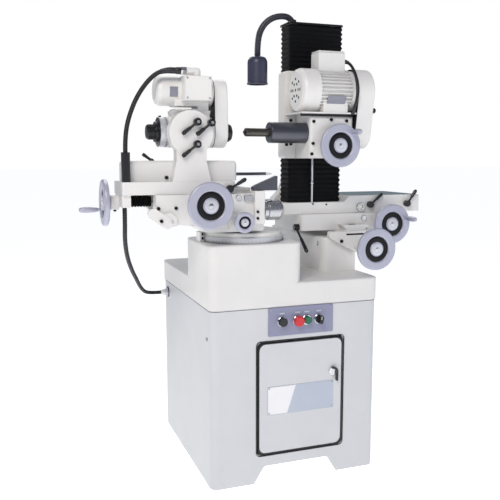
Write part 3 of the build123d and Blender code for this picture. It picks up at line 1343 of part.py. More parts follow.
def saddle_lock_lever():
    """Long lever that locks the right saddle, hanging forward and down."""
    return facing_left(RIGHT_SADDLE_LEFT - FACE_GAP, *saddle_lock_spot()) * clamp_lever(LOCK_ARM, -38)


def right_cross_wheel():
    """Handwheel and screw of the right cross slide."""
    back = RIGHT_WHEEL_Y
    wheel = handwheel(WHEEL_RADIUS, WHEEL_RIM_INNER, WHEEL_HUB, SCREW_RADIUS, BASE_BACK - 40 - back)
    return facing_front(RIGHT_X, back, right_screw_z) * wheel


def right_traverse_wheel():
    """Handwheel with the pinion that moves the right table."""
    back = RIGHT_SADDLE_FRONT - TRAVERSE_BOSS - WHEEL_RIM / 2 - FACE_GAP
    wheel = handwheel(
        WHEEL_RADIUS, WHEEL_RIM_INNER, WHEEL_HUB, SCREW_RADIUS, traverse_gear_end + GEAR_WIDTH + 5 - back,
        20,
    )
    return facing_front(TRAVERSE_X, back, traverse_z) * wheel + facing_front(
        TRAVERSE_X, traverse_gear_end, traverse_z,
    ) * pinion(TRAVERSE_MODULE)


def right_table():
    """Right table with dovetail slot, rack, raised wing and stop rod."""
    table_y = (RIGHT_TABLE_FRONT, RIGHT_TABLE_BACK)
    body = block((RIGHT_TABLE_LEFT, RIGHT_TABLE_RIGHT), table_y, (right_table_bottom, right_table_top))
    wing_top = right_table_top + WING_HEIGHT
    wing = Polygon(
        (WING_LEFT, right_table_top - 1), (WING_LEFT + WING_HEIGHT, wing_top), (
            RIGHT_TABLE_RIGHT - CAST_EDGE, wing_top,
        ),
        (RIGHT_TABLE_RIGHT, wing_top - CAST_EDGE), (RIGHT_TABLE_RIGHT, right_table_top - 1), align=None,
    )
    body = body + along_y(wing, table_y)
    body = fillet(body.edges().filter_by(Axis.Z), CAST_EDGE)
    slot = Pos(RIGHT_RAIL_MIDDLE, right_saddle_top - 0.5) * dovetail_slot(
        RIGHT_RAIL_HALF, 0.86, RIGHT_RAIL_HEIGHT,
    )
    body = body - along_x(slot, (RIGHT_TABLE_LEFT - 1, RIGHT_TABLE_RIGHT + 1))
    pitch_z = traverse_z + TRAVERSE_MODULE * PINION_TEETH / 2
    rack_y = (traverse_gear_end - GEAR_WIDTH, traverse_gear_end)
    body = body + rack(
        TRAVERSE_MODULE, RIGHT_RACK_MIDDLE, RIGHT_RACK_LENGTH, pitch_z, TRAVERSE_X, right_table_bottom + 1,
        rack_y,
    )
    for x, z in right_lever_spots():
        body = body - lever_hole_y(x, RIGHT_TABLE_FRONT, z)
    rod = rod_z(STOP_ROD_X, STOP_ROD_Y, (right_table_top - 1, stop_rod_top), STOP_ROD_RADIUS)
    bead = Pos(STOP_ROD_X, STOP_ROD_Y, right_table_top + STOP_ROD_BEAD_UP) * Sphere(STOP_ROD_BEAD)
    return body + rod + bead


def right_lever_spots():
    """Hub centres of the two clamp levers on the right table's front."""
    return [(x, right_table_top - RIGHT_LEVER_DOWN) for x in RIGHT_LEVER_SPOTS]


def right_table_lever(number, angle):
    """One of the two clamp levers on the right table's front."""
    x, z = right_lever_spots()[number]
    return facing_front(x, RIGHT_TABLE_FRONT - FACE_GAP, z) * clamp_lever(LEVER_ARM, angle)


def column():
    """Tapered column with a foot flared to the left, a narrow way post above it and a top cap."""
    x = (COLUMN_X - COLUMN_HALF, COLUMN_X + COLUMN_HALF)
    bottom = right_table_top
    side = Polygon(
        (COLUMN_FRONT, bottom), (COLUMN_BACK, bottom), (COLUMN_BACK, column_taper), (
            COLUMN_SHOULDER_BACK, column_shoulder,
        ),
        (COLUMN_FRONT, column_shoulder), align=None,
    )
    body = along_x(side, x)
    body = fillet(body.edges().filter_by(Axis.Y).group_by(Axis.Z)[-1], COLUMN_CORNER)
    foot_left = x[0] - COLUMN_FOOT
    foot_top_z = bottom + COLUMN_FOOT_HEIGHT
    edge_z = bottom + COLUMN_FOOT_EDGE
    foot = make_face(
        Spline(
            (x[0], foot_top_z), (x[0] - COLUMN_FOOT * 0.25, bottom + COLUMN_FOOT_HEIGHT / 2),
            (foot_left, edge_z),
        )
        + Polyline(
            (foot_left, edge_z), (foot_left, bottom), (x[0] + 1, bottom), (x[0] + 1, foot_top_z),
            (x[0], foot_top_z),
        )
    )
    body = body + along_y(foot, (BELLOWS_BACK + 1, COLUMN_BACK))
    post_x = (COLUMN_X - COLUMN_WAY_HALF, COLUMN_X + COLUMN_WAY_HALF)
    body = body + block(post_x, (COLUMN_FRONT, COLUMN_POST_BACK), (bottom, column_top))
    way = Pos(COLUMN_X, COLUMN_FRONT + 0.5) * Rot(0, 0, 180) * dovetail(
        COLUMN_WAY_HALF, 0.8, COLUMN_WAY_DEPTH,
    )
    body = body + along_z(way, (bottom, column_top))
    slot_x = (COLUMN_X - COLUMN_SLOT_HALF, COLUMN_X + COLUMN_SLOT_HALF)
    slot_y = (COLUMN_FRONT - COLUMN_WAY_DEPTH - 1, LIFT_SCREW_Y + LIFT_NUT_BACK + 2)
    body = body - block(slot_x, slot_y, (bottom + COLUMN_SLOT_END, column_top - COLUMN_SLOT_END))
    cap_x = (COLUMN_X - BELLOWS_HALF, COLUMN_X + BELLOWS_HALF)
    cap = along_z(
        rounded(cap_x, (BELLOWS_FRONT, COLUMN_POST_BACK + 2), CAST_EDGE),
        (column_top - 0.5, column_top + CAP_THICK),
    )
    return body + cap


def lift_screw():
    """Vertical screw inside the column."""
    z = (right_table_top + COLUMN_SLOT_END, column_top - COLUMN_SLOT_END)
    return rod_z(COLUMN_X, LIFT_SCREW_Y, z, LIFT_SCREW_RADIUS)


def bellows(z):
    """Pleated bellows round the column's front between two heights."""
    length = z[1] - z[0]
    wide = along_y(
        Pos(COLUMN_X, z[0]) * zigzag(BELLOWS_HALF, length, PLEAT_PITCH), (BELLOWS_FRONT, BELLOWS_BACK),
    )
    depth_half = (BELLOWS_BACK - BELLOWS_FRONT) / 2 + PLEAT_DEPTH
    deep_x = (COLUMN_X - BELLOWS_HALF, COLUMN_X + BELLOWS_HALF)
    deep = along_x(Pos(BELLOWS_FRONT + depth_half, z[0]) * zigzag(depth_half, length, PLEAT_PITCH), deep_x)
    tall = (z[0] - 1, z[1] + 1)
    clear = COLUMN_HALF + 1
    channel = block((COLUMN_X - clear, COLUMN_X + clear), (COLUMN_FRONT - 1, BELLOWS_BACK + 50), tall)
    way_clear = COLUMN_WAY_HALF + 1
    groove = block(
        (COLUMN_X - way_clear, COLUMN_X + way_clear), (COLUMN_FRONT - COLUMN_WAY_DEPTH - 1, COLUMN_FRONT),
        tall,
    )
    return (wide & deep) - channel - groove


def lamp_arm():
    """Gooseneck lamp arm on a ferrule on the column's cap, bent over to the lamp head."""
    x, y, base_z = COLUMN_X - LAMP_ARM_LEFT, COLUMN_FRONT + 16, column_top + CAP_THICK
    ferrule = rod_z(x, y, (base_z, base_z + LAMP_FERRULE), LAMP_ARM_RADIUS + 2)
    z = base_z + LAMP_ARM_RADIUS * 0.7
    arm = cord([
        (x, y, z), (x - 13, y - 5, z + 16), (x - 51, y - 19, z + 17), (x - 97, y - 37, z + 3), (
            LAMP_X + 25, LAMP_Y + 21, lamp_top + 104,
        ),
        (LAMP_X, LAMP_Y, lamp_top + 55), (LAMP_X, LAMP_Y, lamp_top),
    ], LAMP_ARM_RADIUS)
    return ferrule + arm


def lamp_head():
    """Lamp shade with its socket and bulb."""
    low = -LAMP_HEIGHT
    crown = [
        (0, 0), (LAMP_RADIUS * 0.47, 0), (LAMP_RADIUS * 0.8, -5), (LAMP_RADIUS - 1, -14), (LAMP_RADIUS, -22),
    ]
    rim = [(LAMP_RADIUS, low + 6), (LAMP_RIM, low + 4), (LAMP_RIM, low)]
    inner = [(LAMP_RADIUS - LAMP_WALL, low), (LAMP_RADIUS - LAMP_WALL, -LAMP_CROWN), (0, -LAMP_CROWN)]
    shade = turned(crown + rim + inner)
    bulb = Pos(0, 0, low + BULB_RADIUS * 2) * Sphere(BULB_RADIUS)
    neck = Pos(0, 0, 1 - LAMP_CROWN - SOCKET_RADIUS) * Cylinder(SOCKET_RADIUS, SOCKET_RADIUS * 2)
    return Pos(LAMP_X, LAMP_Y, lamp_top) * (shade + neck + bulb)


# Wheelhead

def wheelhead():
    """Carriage, spindle housing, motor foot plate and lift nut in one casting."""
    carriage = block(
        (CARRIAGE_LEFT, CARRIAGE_RIGHT), (CARRIAGE_FRONT, CARRIAGE_BACK), (carriage_bottom, carriage_top),
    )
    carriage = fillet(carriage.edges().filter_by(Axis.Y), CAST_EDGE * 2)
    root = CARRIAGE_FRONT + 1
    housing = block((HOUSING_LEFT, HOUSING_RIGHT), (HOUSING_FRONT, root), (carriage_bottom, housing_top))
    housing = fillet(housing.edges().group_by(Axis.Y)[0], CAST_EDGE * 2)
    foot_front = WHEEL_Y - FOOT_REACH
    lip = block((FOOT_LEFT, FOOT_RIGHT), (foot_front, root), (foot_top - FOOT_LIP, foot_top))
    pad = block(
        (HOUSING_LEFT, HOUSING_RIGHT), (foot_front + FOOT_SLOT, root), (housing_top - 1, foot_top - 1),
    )
    body = carriage + housing + lip + pad
    way = Pos(COLUMN_X, COLUMN_FRONT + 0.5) * Rot(0, 0, 180) * dovetail_slot(
        COLUMN_WAY_HALF, 0.8, COLUMN_WAY_DEPTH,
    )
    body = body - along_z(way, (carriage_bottom - 1, carriage_top + 1))
    nut_x = (COLUMN_X - LIFT_NUT_HALF, COLUMN_X + LIFT_NUT_HALF)
    nut_z = (wheel_z, wheel_z + LIFT_NUT_LENGTH)
    nut = block(nut_x, (CARRIAGE_FRONT + 20, LIFT_SCREW_Y + LIFT_NUT_BACK), nut_z)
    body = body + nut - rod_z(
        COLUMN_X, LIFT_SCREW_Y, (nut_z[0] - 1, nut_z[1] + 1), LIFT_SCREW_RADIUS + RUN_GAP,
    )
    body = body - rod_x((HOUSING_LEFT - 1, QUILL_RIGHT), WHEEL_Y, wheel_z, QUILL_RADIUS)
    body = body - rod_x((QUILL_RIGHT - 1, HOUSING_RIGHT + 1), WHEEL_Y, wheel_z, SHAFT_RADIUS + 4)
    body = body - rod_z(STOP_ROD_X, STOP_ROD_Y, (carriage_bottom - 1, stop_rod_top + 70), STOP_ROD_RADIUS + 2)
    boss_front = HOUSING_FRONT - LIFT_WHEEL_OUT + WHEEL_RIM / 2 + FACE_GAP
    boss = rod_y(LIFT_X, (boss_front, HOUSING_FRONT + 1), lift_z, WHEEL_HUB + 2)
    return body + boss - rod_y(
        LIFT_X, (HOUSING_FRONT - LIFT_WHEEL_OUT, HOUSING_FRONT + 40), lift_z, SCREW_RADIUS + RUN_GAP,
    )


def lift_wheel():
    """Handwheel that lifts the wheelhead through its closed gearbox."""
    back = HOUSING_FRONT - LIFT_WHEEL_OUT
    wheel = handwheel(WHEEL_RADIUS, WHEEL_RIM_INNER, WHEEL_HUB, SCREW_RADIUS, LIFT_WHEEL_OUT + 36, 50)
    return facing_front(LIFT_X, back, lift_z) * wheel


def wheel_bearing_spots():
    """Left faces of the two spindle bearings in the quill."""
    return [QUILL_LEFT + 8, QUILL_RIGHT - 8 - BEARING_WIDTH]


def quill():
    """Quill sleeve with a bearing seat at each end."""
    body = rod_x((QUILL_LEFT, QUILL_RIGHT - FACE_GAP), WHEEL_Y, wheel_z, QUILL_RADIUS)
    body = chamfer(body.edges().group_by(Axis.X)[0], 2)
    body = body - rod_x((QUILL_LEFT - 1, QUILL_RIGHT + 1), WHEEL_Y, wheel_z, SHAFT_RADIUS + 3)
    left, right = wheel_bearing_spots()
    body = body - rod_x((left, left + BEARING_WIDTH + 1), WHEEL_Y, wheel_z, WHEEL_BEARING_RADIUS)
    return body - rod_x((right - 1, right + BEARING_WIDTH), WHEEL_Y, wheel_z, WHEEL_BEARING_RADIUS)


def wheel_bearings():
    """Two sealed bearings in the quill."""
    rings = []
    for x in wheel_bearing_spots():
        ring = rod_x((x, x + BEARING_WIDTH), WHEEL_Y, wheel_z, WHEEL_BEARING_RADIUS)
        rings.append(ring - rod_x((x - 1, x + BEARING_WIDTH + 1), WHEEL_Y, wheel_z, SHAFT_RADIUS + RUN_GAP))
    return Part() + rings


def wheel_spindle():
    """Grinding spindle with its stepped arbor and belt pulley."""
    shaft = rod_x((QUILL_LEFT - FACE_GAP, wheel_guard_middle + 14), WHEEL_Y, wheel_z, SHAFT_RADIUS)
    arbor = rod_x((ARBOR_LEFT, QUILL_LEFT - FACE_GAP), WHEEL_Y, wheel_z, ARBOR_RADIUS)
    arbor = chamfer(arbor.edges().group_by(Axis.X)[0], 2)
    wheel = facing_right(wheel_guard_middle, WHEEL_Y, wheel_z) * pulley(WHEEL_PULLEY, BELT_WIDTH + 7)
    return shaft + arbor + wheel


def wheel_motor():
    """Finned motor with fan cover, two feet and a seat for its terminal box."""
    core = Circle(MOTOR_RADIUS - FIN_DEPTH)
    fin = Pos(0, MOTOR_RADIUS - FIN_DEPTH) * Rectangle(FIN_THICK, FIN_DEPTH * 2)
    fins = core + [Rot(0, 0, number * 360 / FIN_COUNT) * fin for number in range(FIN_COUNT)]
    ribbed = along_x(Pos(WHEEL_Y, motor_z) * fins, (MOTOR_LEFT + FAN_COVER, MOTOR_RIGHT - MOTOR_SHIELD))
    edge = MOTOR_RADIUS
    cover = turned(
        [
            (0, 0), (edge, 0), (edge, FAN_COVER - 14), (edge - 4, FAN_COVER - 5), (edge - 14, FAN_COVER),
            (0, FAN_COVER),
        ]
    )
    cover = facing_left(MOTOR_LEFT + FAN_COVER, WHEEL_Y, motor_z) * cover
    shield = rod_x((MOTOR_RIGHT - MOTOR_SHIELD, MOTOR_RIGHT), WHEEL_Y, motor_z, MOTOR_RADIUS - 3)
    feet_x = (MOTOR_LEFT + FAN_COVER + 12, MOTOR_RIGHT - MOTOR_SHIELD - 14)
    feet = Part()
    for middle in (WHEEL_Y - MOTOR_FOOT_OUT, WHEEL_Y + MOTOR_FOOT_OUT):
        feet = feet + block(feet_x, (middle - MOTOR_FOOT_HALF, middle + MOTOR_FOOT_HALF), (foot_top, motor_z))
    seat_y = (WHEEL_Y - MOTOR_BOX_HALF, WHEEL_Y + MOTOR_BOX_HALF)
    seat = block((MOTOR_BOX_LEFT, MOTOR_BOX_RIGHT), seat_y, (motor_z, box_seat))
    shaft_hole = rod_x((MOTOR_RIGHT - SHAFT_GRIP, MOTOR_RIGHT + 1), WHEEL_Y, motor_z, SHAFT_RADIUS + RUN_GAP)
    return ribbed + cover + shield + feet + seat - shaft_hole


def motor_box():
    """Terminal box on the motor's seat, with softened top edges."""
    box_y = (WHEEL_Y - MOTOR_BOX_HALF, WHEEL_Y + MOTOR_BOX_HALF)
    box = block((MOTOR_BOX_LEFT, MOTOR_BOX_RIGHT), box_y, (box_seat, motor_z + MOTOR_BOX_RISE))
    return soften_top(box, CAST_EDGE)


def wheel_motor_pulley():
    """Motor pulley of the wheelhead on its shaft end."""
    shaft = rod_x((MOTOR_RIGHT - SHAFT_GRIP + 2, wheel_guard_middle), WHEEL_Y, motor_z, SHAFT_RADIUS)
    return shaft + facing_right(wheel_guard_middle, WHEEL_Y, motor_z) * pulley(
        WHEEL_MOTOR_PULLEY, BELT_WIDTH + 7,
    )


def wheel_guard():
    """Belt guard of the wheelhead, set against the motor's end."""
    low, high = (WHEEL_Y, wheel_z), (WHEEL_Y, motor_z)
    hole = SHAFT_RADIUS + 4
    return belt_guard(
        low, WHEEL_GUARD_LOW, high, WHEEL_GUARD_HIGH, (MOTOR_RIGHT, WHEEL_GUARD_RIGHT), hole, hole,
    )


def wheel_belt():
    """Belt of the wheelhead."""
    return belt((WHEEL_Y, wheel_z), WHEEL_PULLEY, (WHEEL_Y, motor_z), WHEEL_MOTOR_PULLEY, wheel_guard_middle)


def motor_cable():
    """Cable from the motor's terminal box down to the foot plate."""
    x, y, z = MOTOR_BOX_RIGHT, WHEEL_Y - 10, motor_z + MOTOR_BOX_RISE - 26
    return cord([
        (x, y, z), (x + 13, y, z), (x + 22, y - 20, z - 11), (x + 24, y - 50, z - 43), (
            x + 22, y - 70, z - 78,
        ),
        (x + 18, y - 82, z - 136), (x + 17, y - 49, foot_top - 3),
    ], CABLE_RADIUS)


def all_parts():
    """Every piece under its name."""
    parts = {
        "cabinet": cabinet(),
        "cabinet_door": cabinet_door(),
        "door_latch": door_latch(),
        "control_panel": control_panel(),
        "black_button": push_button(BUTTON_SPOTS["black_button"], BEZEL_RADIUS, 8),
        "emergency_stop": push_button(BUTTON_SPOTS["emergency_stop"], MUSHROOM_RADIUS, 13),
        "start_button": push_button(BUTTON_SPOTS["start_button"], BEZEL_RADIUS - 2, 8),
        "selector_knob": selector_knob(),
        "machine_bed": machine_bed(),
        "conduit_gland": conduit_gland(),
        "swivel_base": swivel_base(),
        "left_saddle": left_saddle(),
        "stop_dial": stop_dial(),
        "cross_wheel": cross_wheel(),
        "feed_wheel": feed_wheel(),
        "left_table": left_table(),
        "way_cover": way_cover(),
        "end_wheel": end_wheel(),
        "conduit_sleeve": conduit_sleeve(),
        "head_upright": head_upright(),
        "head_lever_top": head_lever(0),
        "head_lever_right": head_lever(1),
        "head_lever_low": head_lever(2),
        "table_lock_lever": table_lock_lever(),
        "tooth_rest": tooth_rest(),
        "head_drum": head_drum(),
        "head_bearings": head_bearings(),
        "work_spindle": work_spindle(),
        "index_dial": index_dial(),
        "nose_cap": nose_cap(),
        "head_motor": head_motor(),
        "head_motor_pulley": head_motor_pulley(),
        "head_guard": head_guard(),
        "head_belt": head_belt(),
        "head_conduit": head_conduit(),
        "cabinet_conduit": cabinet_conduit(),
        "right_saddle": right_saddle(),
        "saddle_lock_lever": saddle_lock_lever(),
        "right_cross_wheel": right_cross_wheel(),
        "right_traverse_wheel": right_traverse_wheel(),
        "right_table": right_table(),
        "right_table_lever_left": right_table_lever(0, 40),
        "right_table_lever_right": right_table_lever(1, 55),
        "column": column(),
        "lift_screw": lift_screw(),
        "upper_bellows": bellows((carriage_top + FACE_GAP, column_top - FACE_GAP - 0.5)),
        "lower_bellows": bellows((right_table_top + FACE_GAP, carriage_bottom - FACE_GAP)),
        "lamp_arm": lamp_arm(),
        "lamp_head": lamp_head(),
        "wheelhead": wheelhead(),
        "lift_wheel": lift_wheel(),
        "quill": quill(),
        "wheel_bearings": wheel_bearings(),
        "wheel_spindle": wheel_spindle(),
        "wheel_motor": wheel_motor(),
        "motor_box": motor_box(),
        "wheel_motor_pulley": wheel_motor_pulley(),
        "wheel_guard": wheel_guard(),
        "wheel_belt": wheel_belt(),
        "motor_cable": motor_cable(),
    }
    return parts


os.makedirs("parts", exist_ok=True)
for name, shape in all_parts().items():
    export_step(shape, f"parts/{name}.step")
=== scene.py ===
"""Looks of a universal tool and cutter grinder: finishes, trim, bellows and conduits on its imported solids."""
import functools
import logging
import math
from collections.abc import Sequence
from dataclasses import dataclass
from enum import Enum

import bmesh
import bpy
from mathutils import Matrix, Vector


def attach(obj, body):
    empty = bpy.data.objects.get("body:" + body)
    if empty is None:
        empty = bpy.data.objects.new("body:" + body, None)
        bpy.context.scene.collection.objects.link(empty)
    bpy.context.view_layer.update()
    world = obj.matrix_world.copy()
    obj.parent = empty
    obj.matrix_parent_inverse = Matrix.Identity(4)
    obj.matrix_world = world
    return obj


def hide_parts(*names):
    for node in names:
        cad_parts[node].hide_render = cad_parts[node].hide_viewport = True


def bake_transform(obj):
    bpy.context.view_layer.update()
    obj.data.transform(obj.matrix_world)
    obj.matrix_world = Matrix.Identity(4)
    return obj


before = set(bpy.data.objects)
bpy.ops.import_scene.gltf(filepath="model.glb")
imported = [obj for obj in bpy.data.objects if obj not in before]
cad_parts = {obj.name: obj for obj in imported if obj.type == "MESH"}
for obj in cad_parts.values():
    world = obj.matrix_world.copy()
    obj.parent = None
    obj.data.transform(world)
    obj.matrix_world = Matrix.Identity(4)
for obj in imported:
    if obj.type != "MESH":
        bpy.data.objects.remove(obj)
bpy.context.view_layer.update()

LOG = logging.getLogger("grinder")
MM = 0.001
# Trim starts this far inside the face that it sits on, in millimetres.
SUNK = 0.3
# Faces that meet at a sharper angle than this keep a hard edge between them.
HARD_EDGE = math.radians(38)
# Points on the ring of a hexagon, and on a circle that is skinned to one.
HEX_POINTS = 12

Pair = tuple[float, float]
Point = tuple[float, float, float]
Ring = list[Point]


class Facing(Enum):
    """Way that a flat or turned piece looks: its own X axis and its outward axis in the shared frame."""

    FRONT = ((1, 0, 0), (0, -1, 0))
    LEFT = ((0, -1, 0), (-1, 0, 0))
    RIGHT = ((0, 1, 0), (1, 0, 0))
    UP = ((1, 0, 0), (0, 0, 1))
    DOWN = ((1, 0, 0), (0, 0, -1))

    @property
    def across(self) -> Vector:
        """Unit vector of the piece's own X axis."""
        return Vector(self.value[0])

    @property
    def along(self) -> Vector:
        """Unit vector of the piece's own Y axis."""
        return self.out.cross(self.across)

    @property
    def out(self) -> Vector:
        """Unit vector that points away from the face."""
        return Vector(self.value[1])

    def matrix(self, origin: Point) -> Matrix:
        """Place a shape drawn in millimetres on its own X and Y with Z outwards.

        Args:
            origin: Place of the shape's zero in millimetres.

        Returns:
            Matrix from the shape's millimetres to the shared frame's metres.
        """
        turn = Matrix((self.across, self.along, self.out)).transposed().to_4x4()
        return Matrix.Translation(Vector(origin) * MM) @ turn @ Matrix.Scale(MM, 4)


class Grain(Enum):
    """How a surface was made, as the stretch of its grain along X, Y and Z."""

    SPRAYED = (1.0, 1.0, 1.0)
    GROUND_ALONG_X = (0.05, 1.0, 1.0)
    TURNED_ABOUT_X = (1.0, 0.06, 0.06)
    TURNED_ABOUT_Y = (0.06, 1.0, 0.06)
    TURNED_ABOUT_Z = (0.06, 0.06, 1.0)
    MOULDED = (1.0, 1.0, 1.2)
    WOVEN = (1.0, 1.0, 0.4)


def linear(colour: str) -> tuple[float, float, float, float]:
    """Turn an sRGB hex colour into linear red, green, blue and alpha.

    Args:
        colour: Six hex digits.

    Returns:
        Linear colour with full alpha.
    """
    parts = [int(colour[start:start + 2], 16) / 255 for start in (0, 2, 4)]
    curve = [part / 12.92 if part <= 0.04045 else ((part + 0.055) / 1.055) ** 2.4 for part in parts]
    return (curve[0], curve[1], curve[2], 1.0)


def add_node(
    tree: bpy.types.NodeTree, kind: str, inputs: dict[str | int, object] | None = None, out: str | int = 0,
    **settings: object,
) -> bpy.types.NodeSocket | None:
    """Add a node to a tree with its settings, values and links.

    Args:
        tree: Shader or geometry tree.
        kind: Node type.
        inputs: Value or output socket for each input's name or number.
        out: Name or number of the output that is wanted.
        settings: Properties of the node.

    Returns:
        That output, or None from a node that has none.
    """
    node = tree.nodes.new(kind)
    for name, value in settings.items():
        setattr(node, name, value)
    for name, value in (inputs or {}).items():
        if isinstance(value, bpy.types.NodeSocket):
            tree.links.new(value, node.inputs[name])
        else:
            node.inputs[name].default_value = value
    return node.outputs[out] if node.outputs else None


@dataclass(frozen=True)
class Finish:
    """One real material and how its surface was made."""

    name: str
    slot: str
    colour: str
    shade: str
    smooth: float
    rough: float
    grain: Grain = Grain.SPRAYED
    grain_size: float = 3.0
    grain_height: float = 0.03
    patch_size: float = 120.0
    edge_round: float = 1.5
    # Share of the shade colour painted along edges and in creases, as painted shade.
    edge_shade: float = 0.25
    metallic: float = 0.0
    mirror: float = 0.5
    coat: float = 0.0
    glow: float = 0.0

    def material(self) -> bpy.types.Material:
        """Build the material once and give it again after that.

        Returns:
            The material.
        """
        ready = bpy.data.materials.get(self.name)
        if ready is not None:
            return ready
        material = bpy.data.materials.new(self.name)
        material.use_nodes = True
        tree = material.node_tree
        tree.nodes.clear()
        place = add_node(tree, "ShaderNodeTexCoord", out="Object")
        patches = self.noise(tree, place, self.patch_size)
        stretched = add_node(tree, "ShaderNodeMapping", {"Vector": place, "Scale": self.grain.value})
        fine = self.noise(tree, stretched, self.grain_size)
        soft_edge = add_node(tree, "ShaderNodeBevel", {"Radius": self.edge_round * MM}, samples=4)
        bump = add_node(tree, "ShaderNodeBump", {
            "Height": fine, "Distance": self.grain_height * MM, "Strength": 1.0, "Normal": soft_edge,
        })
        tint = add_node(tree, "ShaderNodeMix", {
            6: linear(self.colour), 7: linear(self.shade), 0: self.patches_and_edge_shade(tree, patches, soft_edge),
        }, out=2, data_type="RGBA")
        gloss = add_node(
            tree, "ShaderNodeMapRange", {"Value": fine, "To Min": self.smooth, "To Max": self.rough}
        )
        shader = add_node(tree, "ShaderNodeBsdfPrincipled", {
            "Base Color": tint, "Roughness": gloss, "Normal": bump,
            "Metallic": self.metallic, "Specular IOR Level": self.mirror, "Coat Weight": self.coat,
            "Emission Strength": self.glow, "Emission Color": linear(self.colour),
        })
        add_node(tree, "ShaderNodeOutputMaterial", {"Surface": shader})
        return material

    def noise(
        self, tree: bpy.types.NodeTree, place: bpy.types.NodeSocket, size: float
    ) -> bpy.types.NodeSocket:
        """Add cloudy noise whose blotches are about one real size.

        Args:
            tree: Shader tree.
            place: Coordinates in metres.
            size: Width of a blotch in millimetres.

        Returns:
            Socket that runs from 0 to 1.
        """
        return add_node(tree, "ShaderNodeTexNoise", {
            "Vector": place, "Scale": 1 / (size * MM), "Detail": 3.0, "Roughness": 0.55,
        }, out="Fac")

    def patches_and_edge_shade(
        self, tree: bpy.types.NodeTree, patches: bpy.types.NodeSocket, soft_edge: bpy.types.NodeSocket
    ) -> bpy.types.NodeSocket:
        """Mix the cloudy patches of the shade colour with painted shade along the edges and in the creases.

        Args:
            tree: Shader tree.
            patches: Cloudy noise.
            soft_edge: Normal that turns round the edges.

        Returns:
            Share of the shade colour.
        """
        nearly_flat, on_the_edge = 0.95, 0.75
        cloud_rim, cloud_core, cloud_share = 0.35, 0.7, 0.35
        # Painted shade: where the rounded normal leaves the true one, along edges and in creases, the colour
        # turns to the shade colour. On the black finishes, whose shade colour is lighter, this is a painted
        # edge highlight.
        face = add_node(tree, "ShaderNodeNewGeometry", out="True Normal")
        alike = add_node(
            tree, "ShaderNodeVectorMath", {0: soft_edge, 1: face}, out="Value", operation="DOT_PRODUCT"
        )
        edge_shade_share = add_node(tree, "ShaderNodeMapRange", {
            "Value": alike, "From Min": nearly_flat, "From Max": on_the_edge, "To Max": self.edge_shade,
        })
        clouds = add_node(tree, "ShaderNodeMapRange", {
            "Value": patches, "From Min": cloud_rim, "From Max": cloud_core, "To Max": cloud_share,
        })
        return add_node(tree, "ShaderNodeMath", {0: clouds, 1: edge_shade_share}, operation="ADD", use_clamp=True)


# Finishes, each from what the real surface is

# Two-part enamel sprayed on filled castings: a soft gloss with fine orange peel. The peel of about 2 mm is
# drawn at 4 mm so that it shows.
IVORY_ENAMEL = Finish("sprayed_ivory_enamel", "ivory_paint", "E6E5E2", "D8D8DA", 0.30, 0.42, grain_size=4)
# Powder coat on folded sheet: a little duller and rougher than the enamel. Its colour is also darker and
# cooler, which paints the shade that falls low on the machine.
POWDER_COAT_WITH_PAINTED_SHADE = Finish(
    "powder_coated_sheet", "cabinet_paint", "D4D6D8", "CACCD0", 0.36, 0.50,
    grain_size=3, grain_height=0.04,
)
# Silver enamel on cast handwheels: pale lavender grey with a metal glint.
SILVER_ENAMEL = Finish(
    "silver_enamelled_casting", "wheel_silver", "B6B8C8", "9FA1B2", 0.30, 0.44,
    grain_size=2.5, metallic=0.25,
)
# Black stove enamel of the dished webs and the column's cap: deep and half glossy. The same black on the
# guards' backs paints the shade in the gap between each motor and its guard.
BLACK_ENAMEL_AND_GAP_SHADE = Finish(
    "black_stove_enamel", "black_plastic", "0B0B0E", "17171B", 0.25, 0.40,
    grain_size=2, mirror=0.3,
)
# Steel turned on a lathe: fine rings. The tool marks of about 0.1 mm are drawn at 1 mm so that they show.
TURNED_STEEL_X = Finish(
    "turned_steel_along_x", "bare_steel", "C4C5C8", "9FA0A6", 0.18, 0.34, Grain.TURNED_ABOUT_X,
    grain_size=1.0, grain_height=0.01, metallic=1.0,
)
TURNED_STEEL_Y = Finish(
    "turned_steel_along_y", "bare_steel", "C4C5C8", "9FA0A6", 0.18, 0.34, Grain.TURNED_ABOUT_Y,
    grain_size=1.0, grain_height=0.01, metallic=1.0,
)
TURNED_STEEL_Z = Finish(
    "turned_steel_along_z", "bare_steel", "CBCCD0", "B2B3B9", 0.26, 0.42, Grain.TURNED_ABOUT_Z,
    grain_size=1.0, grain_height=0.01, metallic=0.5,
)
# Steel ground flat along X: long faint streaks and a cool green cast.
GROUND_STEEL = Finish(
    "ground_steel", "bare_steel", "98AEB0", "7E9499", 0.24, 0.40, Grain.GROUND_ALONG_X,
    grain_size=1.2, grain_height=0.008, metallic=0.9,
)
# Dark hardened steel of the quill, the lift screw, the pulleys and the rods: oiled and half bright.
DARK_STEEL = Finish(
    "hardened_steel", "dark_steel", "66676F", "4C4D55", 0.24, 0.40, Grain.TURNED_ABOUT_X,
    grain_size=1.0, grain_height=0.01, metallic=0.9,
)
# Dull grey steel of the arbor, turned and worn.
ARBOR_STEEL = Finish(
    "worn_turned_steel", "bare_steel", "62605B", "4A4844", 0.28, 0.44, Grain.TURNED_ABOUT_X,
    grain_size=1.0, grain_height=0.01, metallic=0.9,
)
# Chrome plate on nuts, bezels, the stop rod and the latch: bright with few marks.
CHROME = Finish(
    "chrome_plate", "chrome", "D4D5D8", "B0B1B6", 0.06, 0.16,
    grain_size=6, grain_height=0.004, metallic=1.0,
)
# Satin chrome of the dial, the hub caps and the gland: pale, with a soft sheen in place of a mirror.
SATIN_CHROME = Finish(
    "satin_chrome_plate", "bare_steel", "D6D8DE", "BCBFC8", 0.30, 0.44, Grain.TURNED_ABOUT_X,
    grain_size=1.2, grain_height=0.01, metallic=0.55,
)
